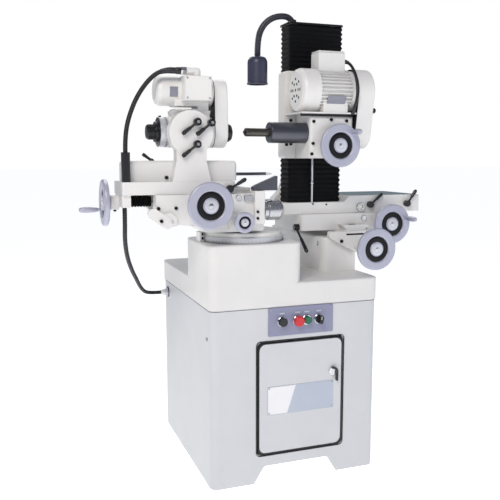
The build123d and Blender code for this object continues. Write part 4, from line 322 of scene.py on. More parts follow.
# Black-oxide screws and nuts: blue-black and faintly glossy.
BLACK_OXIDE = Finish(
    "black_oxide_steel", "dark_steel", "1C1C20", "34343A", 0.30, 0.48,
    grain_size=1, grain_height=0.01, metallic=0.6,
)
# Zinc-plated screws: pale grey and dull.
ZINC = Finish(
    "zinc_plate", "bare_steel", "B9BBBE", "90939A", 0.28, 0.45,
    grain_size=1.5, grain_height=0.01, metallic=1.0,
)
# Phenolic grips, caps and knobs: black, moulded and polished.
PHENOLIC = Finish(
    "moulded_phenolic", "black_plastic", "121214", "232327", 0.18, 0.34, Grain.MOULDED,
    grain_size=2, grain_height=0.01,
)
# Neoprene-coated cloth of the folded covers: blue-black with a weave of about 0.5 mm, drawn at 1.5 mm so
# that it shows.
COATED_CLOTH = Finish(
    "neoprene_coated_cloth", "black_rubber", "050609", "0F1015", 0.60, 0.78, Grain.WOVEN,
    grain_size=1.5, grain_height=0.05, patch_size=25, edge_round=0.5, edge_shade=0.15, mirror=0.2,
)
# Extruded PVC of the conduits and the motor's lead: black and dull. The same black, as strips round the door,
# paints the shade of the door's gap.
PVC_BLACK_AND_GAP_SHADE = Finish(
    "extruded_black_pvc", "black_rubber", "0B0B0F", "1B1B21", 0.34, 0.52,
    grain_size=1.5, edge_round=0.5,
)
# Painted spiral of the lamp's arm: dark blue-grey and half glossy.
DARK_SPIRAL = Finish(
    "painted_steel_spiral", "dark_steel", "2A2B36", "3D3E4C", 0.28, 0.44,
    grain_size=1.5, edge_round=0.5,
)
# Stove enamel of the lamp's shade: dark blue-grey.
SHADE_ENAMEL = Finish("dark_stove_enamel", "black_plastic", "34354A", "45465C", 0.28, 0.42, grain_size=3)
# ABS of the controls' caps and the conduits' fittings: moulded and glossy.
RED_ABS = Finish(
    "moulded_red_abs", "red_plastic", "D8323C", "B0262F", 0.2, 0.36, Grain.MOULDED,
    grain_size=1.5, grain_height=0.01,
)
GREEN_ABS = Finish(
    "moulded_green_abs", "green_plastic", "1F6A4E", "165039", 0.2, 0.36, Grain.MOULDED,
    grain_size=1.5, grain_height=0.01,
)
BLACK_ABS = Finish(
    "moulded_black_abs", "black_plastic", "1A1A1E", "2C2C32", 0.22, 0.40, Grain.MOULDED,
    grain_size=1.5, grain_height=0.01,
)
# Screen-printed panel plate: lavender grey, matt.
PANEL_GREY = Finish(
    "printed_panel_plate", "panel_grey", "9395AF", "8587A2", 0.38, 0.52,
    grain_size=2, grain_height=0.01,
)
# Bare plates of the door and the panel: white and blue-grey lacquered aluminium.
PLATE_WHITE = Finish(
    "white_lacquered_aluminium", "ivory_paint", "F2F2F4", "E6E7EA", 0.22, 0.34,
    grain_size=2, grain_height=0.008,
)
PLATE_BLUE = Finish(
    "blue_grey_lacquered_aluminium", "panel_grey", "BCC4D2", "AAB4C6", 0.22, 0.34,
    grain_size=2, grain_height=0.008,
)
# Bare rating plates of the motors: grey lacquered aluminium.
PLATE_GREY = Finish(
    "grey_lacquered_aluminium", "motor_grey", "8B8D9A", "787A88", 0.26, 0.40,
    grain_size=2, grain_height=0.008,
)
# Rubber of the belts. The same black, as a strip, paints the shadow under the wheel motor's foot. Then painted
# shade of the fan's holes and of the gap under the right saddle.
BELT_RUBBER_AND_FOOT_SHADOW = Finish(
    "moulded_belt_rubber", "black_rubber", "1B1B1B", "2B2B2B", 0.55, 0.75, Grain.MOULDED,
    grain_size=2,
)
PAINTED_OPENING_SHADE = Finish("shaded_opening", "black_rubber", "0B0B0D", "141418", 0.6, 0.8, grain_size=4)
# Opal glass of the bulb and the sight glass: dusty white.
OPAL_GLASS = Finish("opal_glass", "ivory_paint", "F1EFE8", "DEDCD4", 0.15, 0.25, grain_size=5, coat=0.3)
# Painted shadow under the bed's overhang, along the joint with the cabinet: a matt grey strip, a little uneven.
PAINTED_SEAM_SHADOW = Finish("matt_sealing_paste", "motor_grey", "85868A", "6E6F74", 0.6, 0.8, grain_size=3)
# Engraved lines filled with black paint.
ENGRAVED_BLACK = Finish("engraved_black_fill", "black_plastic", "18181B", "2B2B30", 0.5, 0.65, grain_size=2)
# White painted floor of a studio: matt with hardly any pattern.
STUDIO_FLOOR = Finish(
    "matt_studio_floor", "ivory_paint", "FCFCFC", "F9F9F9", 0.8, 0.9,
    grain_size=40, grain_height=0.01, patch_size=600, glow=0.79,
)

NODE_FINISHES = {
    IVORY_ENAMEL: [
        "machine_bed", "swivel_base", "left_saddle", "left_table", "head_upright", "head_drum", "head_motor",
        "head_guard", "right_saddle", "right_table", "column", "wheelhead", "wheel_motor", "wheel_guard",
        "motor_box",
    ],
    POWDER_COAT_WITH_PAINTED_SHADE: ["cabinet", "cabinet_door"],
    SILVER_ENAMEL: [
        "cross_wheel", "feed_wheel", "end_wheel", "right_cross_wheel", "right_traverse_wheel", "lift_wheel",
    ],
    TURNED_STEEL_X: ["work_spindle", "stop_dial"],
    SATIN_CHROME: ["index_dial", "conduit_gland"],
    ARBOR_STEEL: ["wheel_spindle"],
    DARK_STEEL: [
        "quill", "lift_screw", "head_bearings", "wheel_bearings", "head_motor_pulley", "wheel_motor_pulley",
        "tooth_rest",
    ],
    CHROME: ["door_latch"],
    PHENOLIC: [
        "head_lever_top", "head_lever_right", "head_lever_low", "table_lock_lever", "saddle_lock_lever",
        "right_table_lever_left", "right_table_lever_right", "nose_cap",
    ],
    BLACK_ABS: ["black_button", "selector_knob", "conduit_sleeve"],
    SHADE_ENAMEL: ["lamp_head"],
    RED_ABS: ["emergency_stop"],
    GREEN_ABS: ["start_button"],
    PANEL_GREY: ["control_panel"],
    BELT_RUBBER_AND_FOOT_SHADOW: ["head_belt", "wheel_belt"],
}


# Shapes in millimetres

def circle(radius: float, height: float, sides: int = 48) -> Ring:
    """Give the points of a circle at a height."""
    steps = [2 * math.pi * number / sides for number in range(sides)]
    return [(radius * math.cos(step), radius * math.sin(step), height) for step in steps]


def hexagon(radius: float, height: float) -> Ring:
    """Give twelve points of a hexagon at a height: its corners and the middles of its sides.

    Args:
        radius: Distance of the corners from the middle.
        height: Place along Z.

    Returns:
        Points in order round the outline.
    """
    flat = radius * math.cos(math.pi / 6)
    points = []
    for number in range(HEX_POINTS):
        angle = 2 * math.pi * number / HEX_POINTS
        reach = flat if number % 2 else radius
        points.append((reach * math.cos(angle), reach * math.sin(angle), height))
    return points


def rounded_rectangle(width: float, depth: float, corner: float, height: float, steps: int = 5) -> Ring:
    """Give the points of a rounded rectangle at a height.

    Args:
        width: Size along X.
        depth: Size along Y.
        corner: Radius of the corners.
        height: Place along Z.
        steps: Points on each corner less one.

    Returns:
        Points in order round the outline.
    """
    points = []
    corners = [(1, 1, 0), (-1, 1, 90), (-1, -1, 180), (1, -1, 270)]
    for across, along, start in corners:
        middle = (across * (width / 2 - corner), along * (depth / 2 - corner))
        for step in range(steps + 1):
            angle = math.radians(start + 90 * step / steps)
            points.append(
                (middle[0] + corner * math.cos(angle), middle[1] + corner * math.sin(angle), height)
            )
    return points


def loft(rings: list[Ring], loop: bool = False) -> bmesh.types.BMesh:
    """Skin rings of equal count.

    Args:
        rings: Closed rings of points, in order.
        loop: True where the last ring joins the first, as round a washer.

    Returns:
        Closed shape in the rings' own size.
    """
    shape = bmesh.new()
    rows = [[shape.verts.new(point) for point in ring] for ring in rings]
    pairs = list(zip(rows, rows[1:]))
    if loop:
        pairs.append((rows[-1], rows[0]))
    for low, high in pairs:
        for number in range(len(low)):
            after = (number + 1) % len(low)
            shape.faces.new((low[number], low[after], high[after], high[number]))
    if not loop:
        shape.faces.new(rows[0][::-1])
        shape.faces.new(rows[-1])
    return shape


def turned(profile: list[Pair], loop: bool = False, sides: int = 48) -> bmesh.types.BMesh:
    """Turn a profile of radius and height about Z."""
    return loft([circle(radius, height, sides) for radius, height in profile], loop)


def plate(width: float, depth: float, corner: float, thick: float, edge: float) -> bmesh.types.BMesh:
    """Make a flat plate with rounded corners and a broken front edge.

    Args:
        width: Size along X.
        depth: Size along Y.
        corner: Radius of the corners.
        thick: Thickness, from zero up along Z.
        edge: Width of the broken edge.

    Returns:
        Closed shape in millimetres.
    """
    return loft([
        rounded_rectangle(width, depth, corner, 0),
        rounded_rectangle(width, depth, corner, thick - edge),
        rounded_rectangle(width - 2 * edge, depth - 2 * edge, max(corner - edge, edge / 2), thick),
    ])


class ScrewHead(Enum):
    """Kind of screw head, as rings in units of its radius."""

    SOCKET = "socket"
    PAN = "pan"
    BOLT = "bolt"

    def shape(self) -> bmesh.types.BMesh:
        """Make the head on Z with a radius of one.

        Returns:
            Closed shape with its drive sunk in it.
        """
        rims = {
            ScrewHead.SOCKET: [
                circle(1, -0.1, HEX_POINTS), circle(1, 0.75, HEX_POINTS),
                circle(0.85, 0.95, HEX_POINTS), hexagon(0.52, 0.95),
            ],
            ScrewHead.PAN: [
                circle(1, -0.1, HEX_POINTS), circle(1, 0.2, HEX_POINTS),
                circle(0.75, 0.5, HEX_POINTS), hexagon(0.3, 0.55),
            ],
            ScrewHead.BOLT: [
                hexagon(1, -0.1), hexagon(1, 0.6),
                circle(0.8, 0.75, HEX_POINTS), circle(0.4, 0.75, HEX_POINTS),
            ],
        }
        floor = {ScrewHead.SOCKET: 0.4, ScrewHead.PAN: 0.3, ScrewHead.BOLT: 0.72}
        inner = [(x, y, floor[self]) for x, y, _ in rims[self][-1]]
        return loft(rims[self] + [inner])


def evaluated(carrier: bpy.types.Object) -> bpy.types.Mesh:
    """Give the mesh that an object's modifiers leave it with."""
    graph = bpy.context.evaluated_depsgraph_get()
    return bpy.data.meshes.new_from_object(carrier.evaluated_get(graph))


def new_object(name: str, data: bpy.types.ID) -> bpy.types.Object:
    """Put an object with some data in the scene.

    Args:
        name: Name of the object.
        data: Mesh, curve, light or camera that it shows.

    Returns:
        The new object, at the origin.
    """
    item = bpy.data.objects.new(name, data)
    bpy.context.scene.collection.objects.link(item)
    return item


def settle(name: str, mesh: bpy.types.Mesh, body: str | None) -> bpy.types.Object:
    """Put a finished mesh in the scene, smooth it and let it ride on a body.

    Args:
        name: Name of the piece.
        mesh: Mesh in metres in the shared frame, with its material.
        body: Body that it rides on, or None where it rides on none.

    Returns:
        The new object.
    """
    for spent in ("facing", "size"):
        if spent in mesh.attributes:
            mesh.attributes.remove(mesh.attributes[spent])
    mesh.polygons.foreach_set("use_smooth", [True] * len(mesh.polygons))
    mesh.set_sharp_from_angle(angle=HARD_EDGE)
    piece = new_object(name, mesh)
    if body is not None:
        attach(piece, body)
    LOG.info("%s: %d faces on %s", name, len(mesh.polygons), body or "two bodies")
    return piece


def add_piece(
    name: str, shape: bmesh.types.BMesh, finish: Finish, body: str, place: Matrix
) -> bpy.types.Object:
    """Turn a shape into a piece of the machine.

    Args:
        name: Name of the piece.
        shape: Closed shape, which is used up.
        finish: Finish of the piece.
        body: Body that it rides on.
        place: Matrix from the shape's own size to the shared frame.

    Returns:
        The new object, at the origin.
    """
    bmesh.ops.transform(shape, matrix=place, verts=shape.verts)
    mesh = bpy.data.meshes.new(name)
    close_up(shape, mesh)
    mesh.materials.append(finish.material())
    return settle(name, mesh, body)


def close_up(shape: bmesh.types.BMesh, mesh: bpy.types.Mesh, merge: float = 0.01 * MM) -> None:
    """Merge the doubles of a shape, turn its faces outwards and write it to a mesh.

    Args:
        shape: Shape, which is used up.
        mesh: Mesh that takes it.
        merge: Distance under which points are merged, in the shape's own unit.
    """
    bmesh.ops.remove_doubles(shape, verts=shape.verts, dist=merge)
    bmesh.ops.recalc_face_normals(shape, faces=shape.faces)
    shape.normal_update()
    middle = sum((vertex.co for vertex in shape.verts), Vector()) / len(shape.verts)
    outwards = sum(
        face.normal.dot(face.calc_center_median() - middle) * face.calc_area() for face in shape.faces
    )
    if outwards < 0:
        bmesh.ops.reverse_faces(shape, faces=shape.faces)
    shape.to_mesh(mesh)
    shape.free()


# Geometry node trees

def new_tree(name: str, sockets: dict[str, str]) -> tuple[bpy.types.NodeTree, bpy.types.NodeOutputs]:
    """Start a geometry tree with named inputs and a material.

    Args:
        name: Name of the tree.
        sockets: Kind of each named input: Object, Float or Int.

    Returns:
        The tree and the sockets that give its inputs.
    """
    tree = bpy.data.node_groups.new(name, "GeometryNodeTree")
    tree.interface.new_socket("Geometry", in_out="INPUT", socket_type="NodeSocketGeometry")
    for socket, kind in (sockets | {"Material": "Material"}).items():
        tree.interface.new_socket(socket, in_out="INPUT", socket_type="NodeSocket" + kind)
    tree.interface.new_socket("Geometry", in_out="OUTPUT", socket_type="NodeSocketGeometry")
    return tree, add_node(tree, "NodeGroupInput").node.outputs


def end_tree(
    tree: bpy.types.NodeTree, given: bpy.types.NodeOutputs, geometry: bpy.types.NodeSocket
) -> bpy.types.NodeTree:
    """Make the geometry real, give it its material and lead it out of the tree.

    Args:
        tree: The tree.
        given: Sockets that give its inputs.
        geometry: Geometry to lead out.

    Returns:
        The finished tree.
    """
    real = add_node(tree, "GeometryNodeRealizeInstances", {"Geometry": geometry})
    painted = add_node(tree, "GeometryNodeSetMaterial", {"Geometry": real, "Material": given["Material"]})
    add_node(tree, "NodeGroupOutput", {"Geometry": painted})
    return tree


def thicken(mesh: bpy.types.Mesh, wall: float) -> bpy.types.Mesh:
    """Give an open sheet a wall inwards.

    Args:
        mesh: Sheet whose faces point outwards.
        wall: Thickness in millimetres.

    Returns:
        Closed mesh.
    """
    carrier = new_object(mesh.name + "_sheet", mesh)
    solid = carrier.modifiers.new("wall", "SOLIDIFY")
    solid.thickness = wall * MM
    solid.offset = -1
    walled = evaluated(carrier)
    bpy.data.objects.remove(carrier)
    return walled


def grow(
    name: str, tree: bpy.types.NodeTree, settings: dict[str, object], finish: Finish, body: str | None,
    source: bpy.types.Mesh | None = None, place: Matrix | None = None, wall: float = 0.0,
) -> bpy.types.Object:
    """Run a geometry tree once and keep the result as a plain piece.

    Args:
        name: Name of the piece.
        tree: Geometry tree.
        settings: Value of each named input. Objects among them are removed afterwards.
        finish: Finish of the piece.
        body: Body that it rides on, or None where it rides on none.
        source: Mesh that the tree starts from, or None where it needs none.
        place: Matrix from the tree's own size to the shared frame.
        wall: Thickness in millimetres given to a sheet, inwards.

    Returns:
        The new object.
    """
    carrier = new_object(name + "_source", source or bpy.data.meshes.new(name + "_source"))
    modifier = carrier.modifiers.new("grow", "NODES")
    modifier.node_group = tree
    values = settings | {"Material": finish.material()}
    for item in tree.interface.items_tree:
        if item.in_out == "INPUT" and item.name in values:
            modifier[item.identifier] = values[item.name]
    mesh = evaluated(carrier)
    mesh.name = name
    bpy.data.objects.remove(carrier)
    for spent in [value for value in settings.values() if isinstance(value, bpy.types.Object)]:
        bpy.data.objects.remove(spent)
    shape = bmesh.new()
    shape.from_mesh(mesh)
    if place is not None:
        bmesh.ops.transform(shape, matrix=place, verts=shape.verts)
    close_up(shape, mesh)
    if wall:
        mesh = thicken(mesh, wall)
    return settle(name, mesh, body)


@functools.cache
def set_out_tree() -> bpy.types.NodeTree:
    """Tree that sets a template on each point, turned to the point's facing and scaled to its size.

    Returns:
        The tree, which is built once.
    """
    tree, given = new_tree("set_out", {"Template": "Object"})
    template = add_node(tree, "GeometryNodeObjectInfo", {"Object": given["Template"]}, out="Geometry")
    facing = add_node(tree, "GeometryNodeInputNamedAttribute", {"Name": "facing"}, data_type="FLOAT_VECTOR")
    size = add_node(tree, "GeometryNodeInputNamedAttribute", {"Name": "size"}, data_type="FLOAT")
    turn = add_node(tree, "FunctionNodeAlignRotationToVector", {"Vector": facing}, axis="Z")
    placed = add_node(tree, "GeometryNodeInstanceOnPoints", {
        "Points": given["Geometry"], "Instance": template, "Rotation": turn, "Scale": size,
    })
    return end_tree(tree, given, placed)


@functools.cache
def set_round_tree() -> bpy.types.NodeTree:
    """Tree that sets a template round a circle about Z, with every few of them longer.

    Returns:
        The tree, which is built once.
    """
    tree, given = new_tree("set_round", {
        "Template": "Object", "Count": "Int", "Radius": "Float", "Long Every": "Int", "Long": "Float",
    })
    template = add_node(tree, "GeometryNodeObjectInfo", {"Object": given["Template"]}, out="Geometry")
    number = add_node(tree, "GeometryNodeInputIndex")
    step = add_node(tree, "ShaderNodeMath", {0: 2 * math.pi, 1: given["Count"]}, operation="DIVIDE")
    angle = add_node(tree, "ShaderNodeMath", {0: number, 1: step}, operation="MULTIPLY")
    arm = add_node(tree, "ShaderNodeCombineXYZ", {"X": given["Radius"]})
    spot = add_node(tree, "ShaderNodeVectorRotate", {"Vector": arm, "Angle": angle}, rotation_type="Z_AXIS")
    points = add_node(tree, "GeometryNodePoints", {"Count": given["Count"]})
    ring = add_node(tree, "GeometryNodeSetPosition", {"Geometry": points, "Position": spot})
    turn = add_node(tree, "ShaderNodeCombineXYZ", {"Z": angle})
    turn = add_node(tree, "FunctionNodeEulerToRotation", {"Euler": turn})
    left_over = add_node(
        tree, "ShaderNodeMath", {0: number, 1: given["Long Every"]}, operation="FLOORED_MODULO"
    )
    is_long = add_node(tree, "ShaderNodeMath", {0: left_over, 1: 0.5}, operation="LESS_THAN")
    stretch = add_node(
        tree, "ShaderNodeMapRange", {"Value": is_long, "To Min": 1.0, "To Max": given["Long"]}
    )
    size = add_node(tree, "ShaderNodeCombineXYZ", {"X": stretch, "Y": 1.0, "Z": stretch})
    placed = add_node(tree, "GeometryNodeInstanceOnPoints", {
        "Points": ring, "Instance": template, "Rotation": turn, "Scale": size,
    })
    return end_tree(tree, given, placed)


@functools.cache
def pleat_tree() -> bpy.types.NodeTree:
    """Tree that folds a sheet up along Z round a profile curve, with its valleys inside the profile.

    Returns:
        The tree, which is built once.
    """
    tree, given = new_tree("pleat", {
        "Profile": "Object", "Height": "Float", "Depth": "Float", "Pleats": "Int", "Columns": "Int",
    })
    profile = add_node(tree, "GeometryNodeObjectInfo", {"Object": given["Profile"]}, out="Geometry")
    rows = add_node(tree, "ShaderNodeMath", {0: given["Pleats"], 1: 4.0, 2: 1.0}, operation="MULTIPLY_ADD")
    sheet = add_node(tree, "GeometryNodeMeshGrid", {
        "Size X": 1.0, "Size Y": 1.0, "Vertices X": given["Columns"], "Vertices Y": rows,
    })
    position = add_node(tree, "GeometryNodeInputPosition")
    spot = add_node(tree, "ShaderNodeSeparateXYZ", {0: position}).node.outputs
    along = add_node(tree, "ShaderNodeMath", {0: spot["X"], 1: 0.5}, operation="ADD")
    up = add_node(tree, "ShaderNodeMath", {0: spot["Y"], 1: 0.5}, operation="ADD")
    line = add_node(
        tree, "GeometryNodeSampleCurve", {"Curves": profile, "Factor": along}, mode="FACTOR"
    ).node.outputs
    upright = (0.0, 0.0, 1.0)
    outward = add_node(
        tree, "ShaderNodeVectorMath", {0: line["Tangent"], 1: upright}, operation="CROSS_PRODUCT"
    )
    folds = add_node(tree, "ShaderNodeMath", {0: up, 1: given["Pleats"]}, operation="MULTIPLY")
    fold = add_node(tree, "ShaderNodeMath", {0: folds, 1: 0.5}, operation="PINGPONG")
    inside = add_node(tree, "ShaderNodeMath", {0: given["Depth"], 1: -1.0}, operation="MULTIPLY")
    reach = add_node(
        tree, "ShaderNodeMapRange", {"Value": fold, "From Max": 0.5, "To Min": inside, "To Max": 0.0}
    )
    push = add_node(tree, "ShaderNodeVectorMath", {0: outward, "Scale": reach}, operation="SCALE")
    lift = add_node(tree, "ShaderNodeMath", {0: up, 1: given["Height"]}, operation="MULTIPLY")
    rise = add_node(tree, "ShaderNodeCombineXYZ", {"Z": lift})
    place = add_node(tree, "ShaderNodeVectorMath", {0: line["Position"], 1: push}, operation="ADD")
    place = add_node(tree, "ShaderNodeVectorMath", {0: place, 1: rise}, operation="ADD")
    folded = add_node(tree, "GeometryNodeSetPosition", {"Geometry": sheet, "Position": place})
    return end_tree(tree, given, folded)


@functools.cache
def hose_tree() -> bpy.types.NodeTree:
    """Tree that leads a ribbed, tapered tube along a stretch of a curve.

    Returns:
        The tree, which is built once.
    """
    tree, given = new_tree("hose", {
        "Path": "Object", "Radius": "Float", "Step": "Float", "Pitch": "Float", "Rib": "Float",
        "Taper": "Float", "Start": "Float", "End": "Float",
    })
    path = add_node(tree, "GeometryNodeObjectInfo", {"Object": given["Path"]}, out="Geometry")
    part = add_node(tree, "GeometryNodeTrimCurve", {
        "Curve": path, "Start": given["Start"], "End": given["End"],
    }, mode="FACTOR")
    fine = add_node(
        tree, "GeometryNodeResampleCurve", {"Curve": part, "Length": given["Step"]}, mode="LENGTH"
    )
    run = add_node(tree, "GeometryNodeSplineParameter").node.outputs
    turns = add_node(tree, "ShaderNodeMath", {0: run["Length"], 1: given["Pitch"]}, operation="DIVIDE")
    turns = add_node(tree, "ShaderNodeMath", {0: turns, 1: 2 * math.pi}, operation="MULTIPLY")
    wave = add_node(tree, "ShaderNodeMath", {0: turns}, operation="SINE")
    ribbed = add_node(tree, "ShaderNodeMath", {0: wave, 1: given["Rib"], 2: 1.0}, operation="MULTIPLY_ADD")
    rest = add_node(tree, "ShaderNodeMath", {0: 1.0, 1: run["Factor"]}, operation="SUBTRACT")
    swell = add_node(
        tree, "ShaderNodeMath", {0: rest, 1: given["Taper"], 2: ribbed}, operation="MULTIPLY_ADD"
    )
    ring = add_node(
        tree, "GeometryNodeCurvePrimitiveCircle", {"Resolution": 16, "Radius": given["Radius"]}
    )
    tube = add_node(tree, "GeometryNodeCurveToMesh", {
        "Curve": fine, "Profile Curve": ring, "Scale": swell, "Fill Caps": True,
    })
    return end_tree(tree, given, tube)


@dataclass(frozen=True)
class Spot:
    """Place, radius and facing of a small piece, in millimetres."""

    place: Point
    radius: float
    facing: Facing = Facing.FRONT


def set_out(
    name: str, shape: bmesh.types.BMesh, spots: Sequence[Spot], finish: Finish, body: str
) -> bpy.types.Object:
    """Set a shape on each spot of a body.

    Args:
        name: Name of the piece.
        shape: Shape on Z, in units of a spot's radius.
        spots: Where it goes.
        finish: Finish of the piece.
        body: Body that it rides on.

    Returns:
        The new object, with all the shapes in one mesh.
    """
    source = bpy.data.meshes.new(name + "_spots")
    source.from_pydata([Vector(spot.place) * MM for spot in spots], [], [])
    facing = source.attributes.new("facing", "FLOAT_VECTOR", "POINT")
    facing.data.foreach_set("vector", [part for spot in spots for part in spot.facing.out])
    size = source.attributes.new("size", "FLOAT", "POINT")
    size.data.foreach_set("value", [spot.radius * MM for spot in spots])
    return grow(name, set_out_tree(), {"Template": template(name, shape)}, finish, body, source=source)


def set_round(
    name: str, shape: bmesh.types.BMesh, count: int, radius: float, finish: Finish, body: str, place: Matrix,
    long_every: int = 1, long: float = 1.0,
) -> bpy.types.Object:
    """Set a shape round a full circle.

    Args:
        name: Name of the piece.
        shape: Shape in millimetres, with X away from the circle's middle.
        count: How many there are.
        radius: Radius of the circle in millimetres.
        finish: Finish of the piece.
        body: Body that it rides on.
        place: Matrix from the circle's millimetres to the shared frame.
        long_every: Step between the longer ones.
        long: How much longer those are.

    Returns:
        The new object, with all the shapes in one mesh.
    """
    settings = {
        "Template": template(name, shape), "Count": count, "Radius": radius, "Long Every": long_every,
        "Long": long,
    }
    return grow(name, set_round_tree(), settings, finish, body, place=place)


def template(name: str, shape: bmesh.types.BMesh) -> bpy.types.Object:
    """Make the passing object that a tree repeats.

    Args:
        name: Name of the piece that it is for.
        shape: Shape, which is used up.

    Returns:
        The object, which is removed once the tree has run.
    """
    mesh = bpy.data.meshes.new(name + "_template")
    close_up(shape, mesh, merge=1e-5)
    return new_object(name + "_template", mesh)


def corner_screws(
    name: str, middle: Point, size: Pair, inset: float, radius: float, body: str,
    facing: Facing = Facing.FRONT,
) -> None:
    """Set a zinc-plated screw in each corner of a plate.

    Args:
        name: Name of the piece.
        middle: Middle of the plate's face in millimetres.
        size: Width and height of the plate.
        inset: Distance of the screws from its edges.
        radius: Radius of a screw's head.
        body: Body that they ride on.
        facing: Way that the plate looks.
    """
    width, height = size
    across, along = facing.across * (width / 2 - inset), facing.along * (height / 2 - inset)
    corners = [Vector(middle) + x * across + y * along for x in (-1, 1) for y in (-1, 1)]
    spots = [Spot(tuple(corner), radius, facing) for corner in corners]
    set_out(name, ScrewHead.PAN.shape(), spots, ZINC, body)


def pleated(
    name: str, outline: Sequence[Pair], closed: bool, height: float, depth: float, pitch: float,
    place: Matrix,
) -> bpy.types.Object:
    """Fold a cloth cover along Z round an outline.

    Args:
        name: Name of the piece.
        outline: Points of the outline in millimetres, turning left.
        closed: True where the outline is a ring.
        height: Length of the cover along Z.
        depth: Depth of a fold.
        pitch: Distance from fold to fold.
        place: Matrix from the cover's millimetres to the shared frame.

    Returns:
        The new object, on no body.
    """
    cloth_thick, columns = 0.8, 121
    data = bpy.data.curves.new(name + "_outline", "CURVE")
    data.dimensions = "3D"
    spline = data.splines.new("POLY")
    spline.points.add(len(outline) - 1)
    for knot, (x, y) in zip(spline.points, outline):
        knot.co = (x, y, 0, 1)
    spline.use_cyclic_u = closed
    settings = {
        "Profile": new_object(name + "_outline", data), "Height": height, "Depth": depth,
        "Pleats": round(height / pitch), "Columns": columns,
    }
    return grow(name, pleat_tree(), settings, COATED_CLOTH, None, place=place, wall=cloth_thick)


@dataclass(frozen=True)
class Light:
    """Square light: its place and width in metres, its power in watts and its colour."""

    name: str
    place: Point
    width: float
    power: float
    colour: str

    def hang(self, target: Vector) -> None:
        """Hang the light so that it looks at a point.

        Args:
            target: The point in metres.
        """
        data = bpy.data.lights.new(self.name, "AREA")
        data.size = self.width
        data.energy = self.power
        data.color = linear(self.colour)[:3]
        lamp = new_object(self.name, data)
        lamp.location = self.place
        lamp.rotation_euler = (target - Vector(self.place)).to_track_quat("-Z", "Y").to_euler()


@dataclass
class Studio:
    """Camera at the photograph's angle, soft light and a pale floor."""

    position: Point = (-905.9, -2370.9, 1088.7)
    yaw: float = -0.347
    pitch: float = -0.135
    lens: float = 49.46
    sensor: float = 36.0
    sight: float = 200.0
    target: Point = (0.0, 0.0, 1.1)
    lights: tuple[Light, ...] = (
        Light("key", (-1.6, -2.3, 3.0), width=1.3, power=54.0, colour="FFF9F3"),
        Light("fill", (2.2, -2.2, 1.7), width=1.6, power=7.0, colour="DCE6FF"),
        Light("back", (0.2, 1.6, 3.2), width=2.0, power=32.0, colour="FFFFFF"),
    )
    world_colour: str = "DDE2F2"
    world_strength: float = 0.29
    floor_half: float = 60000.0

    def build(self) -> None:
        """Make the camera, the lights, the world and the floor."""
        self.add_camera()
        self.add_lights()
        self.add_world()
        self.add_floor()

    def add_camera(self) -> None:
        """Place the camera without shift or depth of field."""
        data = bpy.data.cameras.new("camera")
        data.lens = self.lens
        data.sensor_width = self.sensor
        data.clip_end = self.sight
        level = Vector((-math.sin(self.yaw), math.cos(self.yaw), 0))
        forward = math.cos(self.pitch) * level + math.sin(self.pitch) * Vector((0, 0, 1))
        camera = new_object("camera", data)
        camera.location = Vector(self.position) * MM
        camera.rotation_euler = forward.to_track_quat("-Z", "Y").to_euler()
        bpy.context.scene.camera = camera

    def add_lights(self) -> None:
        """Hang a large key light in front at the left, a weak fill at the right and a light behind."""
        for light in self.lights:
            light.hang(Vector(self.target))

    def add_world(self) -> None:
        """Surround the machine with cool soft light, white where it is seen straight."""
        world = bpy.data.worlds.new("pale_surround")
        bpy.context.scene.world = world
        world.use_nodes = True
        tree = world.node_tree
        tree.nodes.clear()
        cool = add_node(tree, "ShaderNodeBackground", {
            "Color": linear(self.world_colour), "Strength": self.world_strength,
        })
        white = add_node(tree, "ShaderNodeBackground", {"Color": linear("FFFFFF"), "Strength": 1.0})
        seen = add_node(tree, "ShaderNodeLightPath", out="Is Camera Ray")
        mixed = add_node(tree, "ShaderNodeMixShader", {0: seen, 1: cool, 2: white})
        add_node(tree, "ShaderNodeOutputWorld", {"Surface": mixed})
        bpy.context.scene.view_settings.view_transform = "Standard"

    def add_floor(self) -> None:
        """Lay a wide floor under the machine."""
        sheet = bmesh.new()
        bmesh.ops.create_grid(sheet, x_segments=8, y_segments=8, size=self.floor_half * MM)
        mesh = bpy.data.meshes.new("floor")
        sheet.to_mesh(mesh)
        sheet.free()
        mesh.materials.append(STUDIO_FLOOR.material())
        new_object("floor", mesh)


# Conduits, cables and the lamp's arm

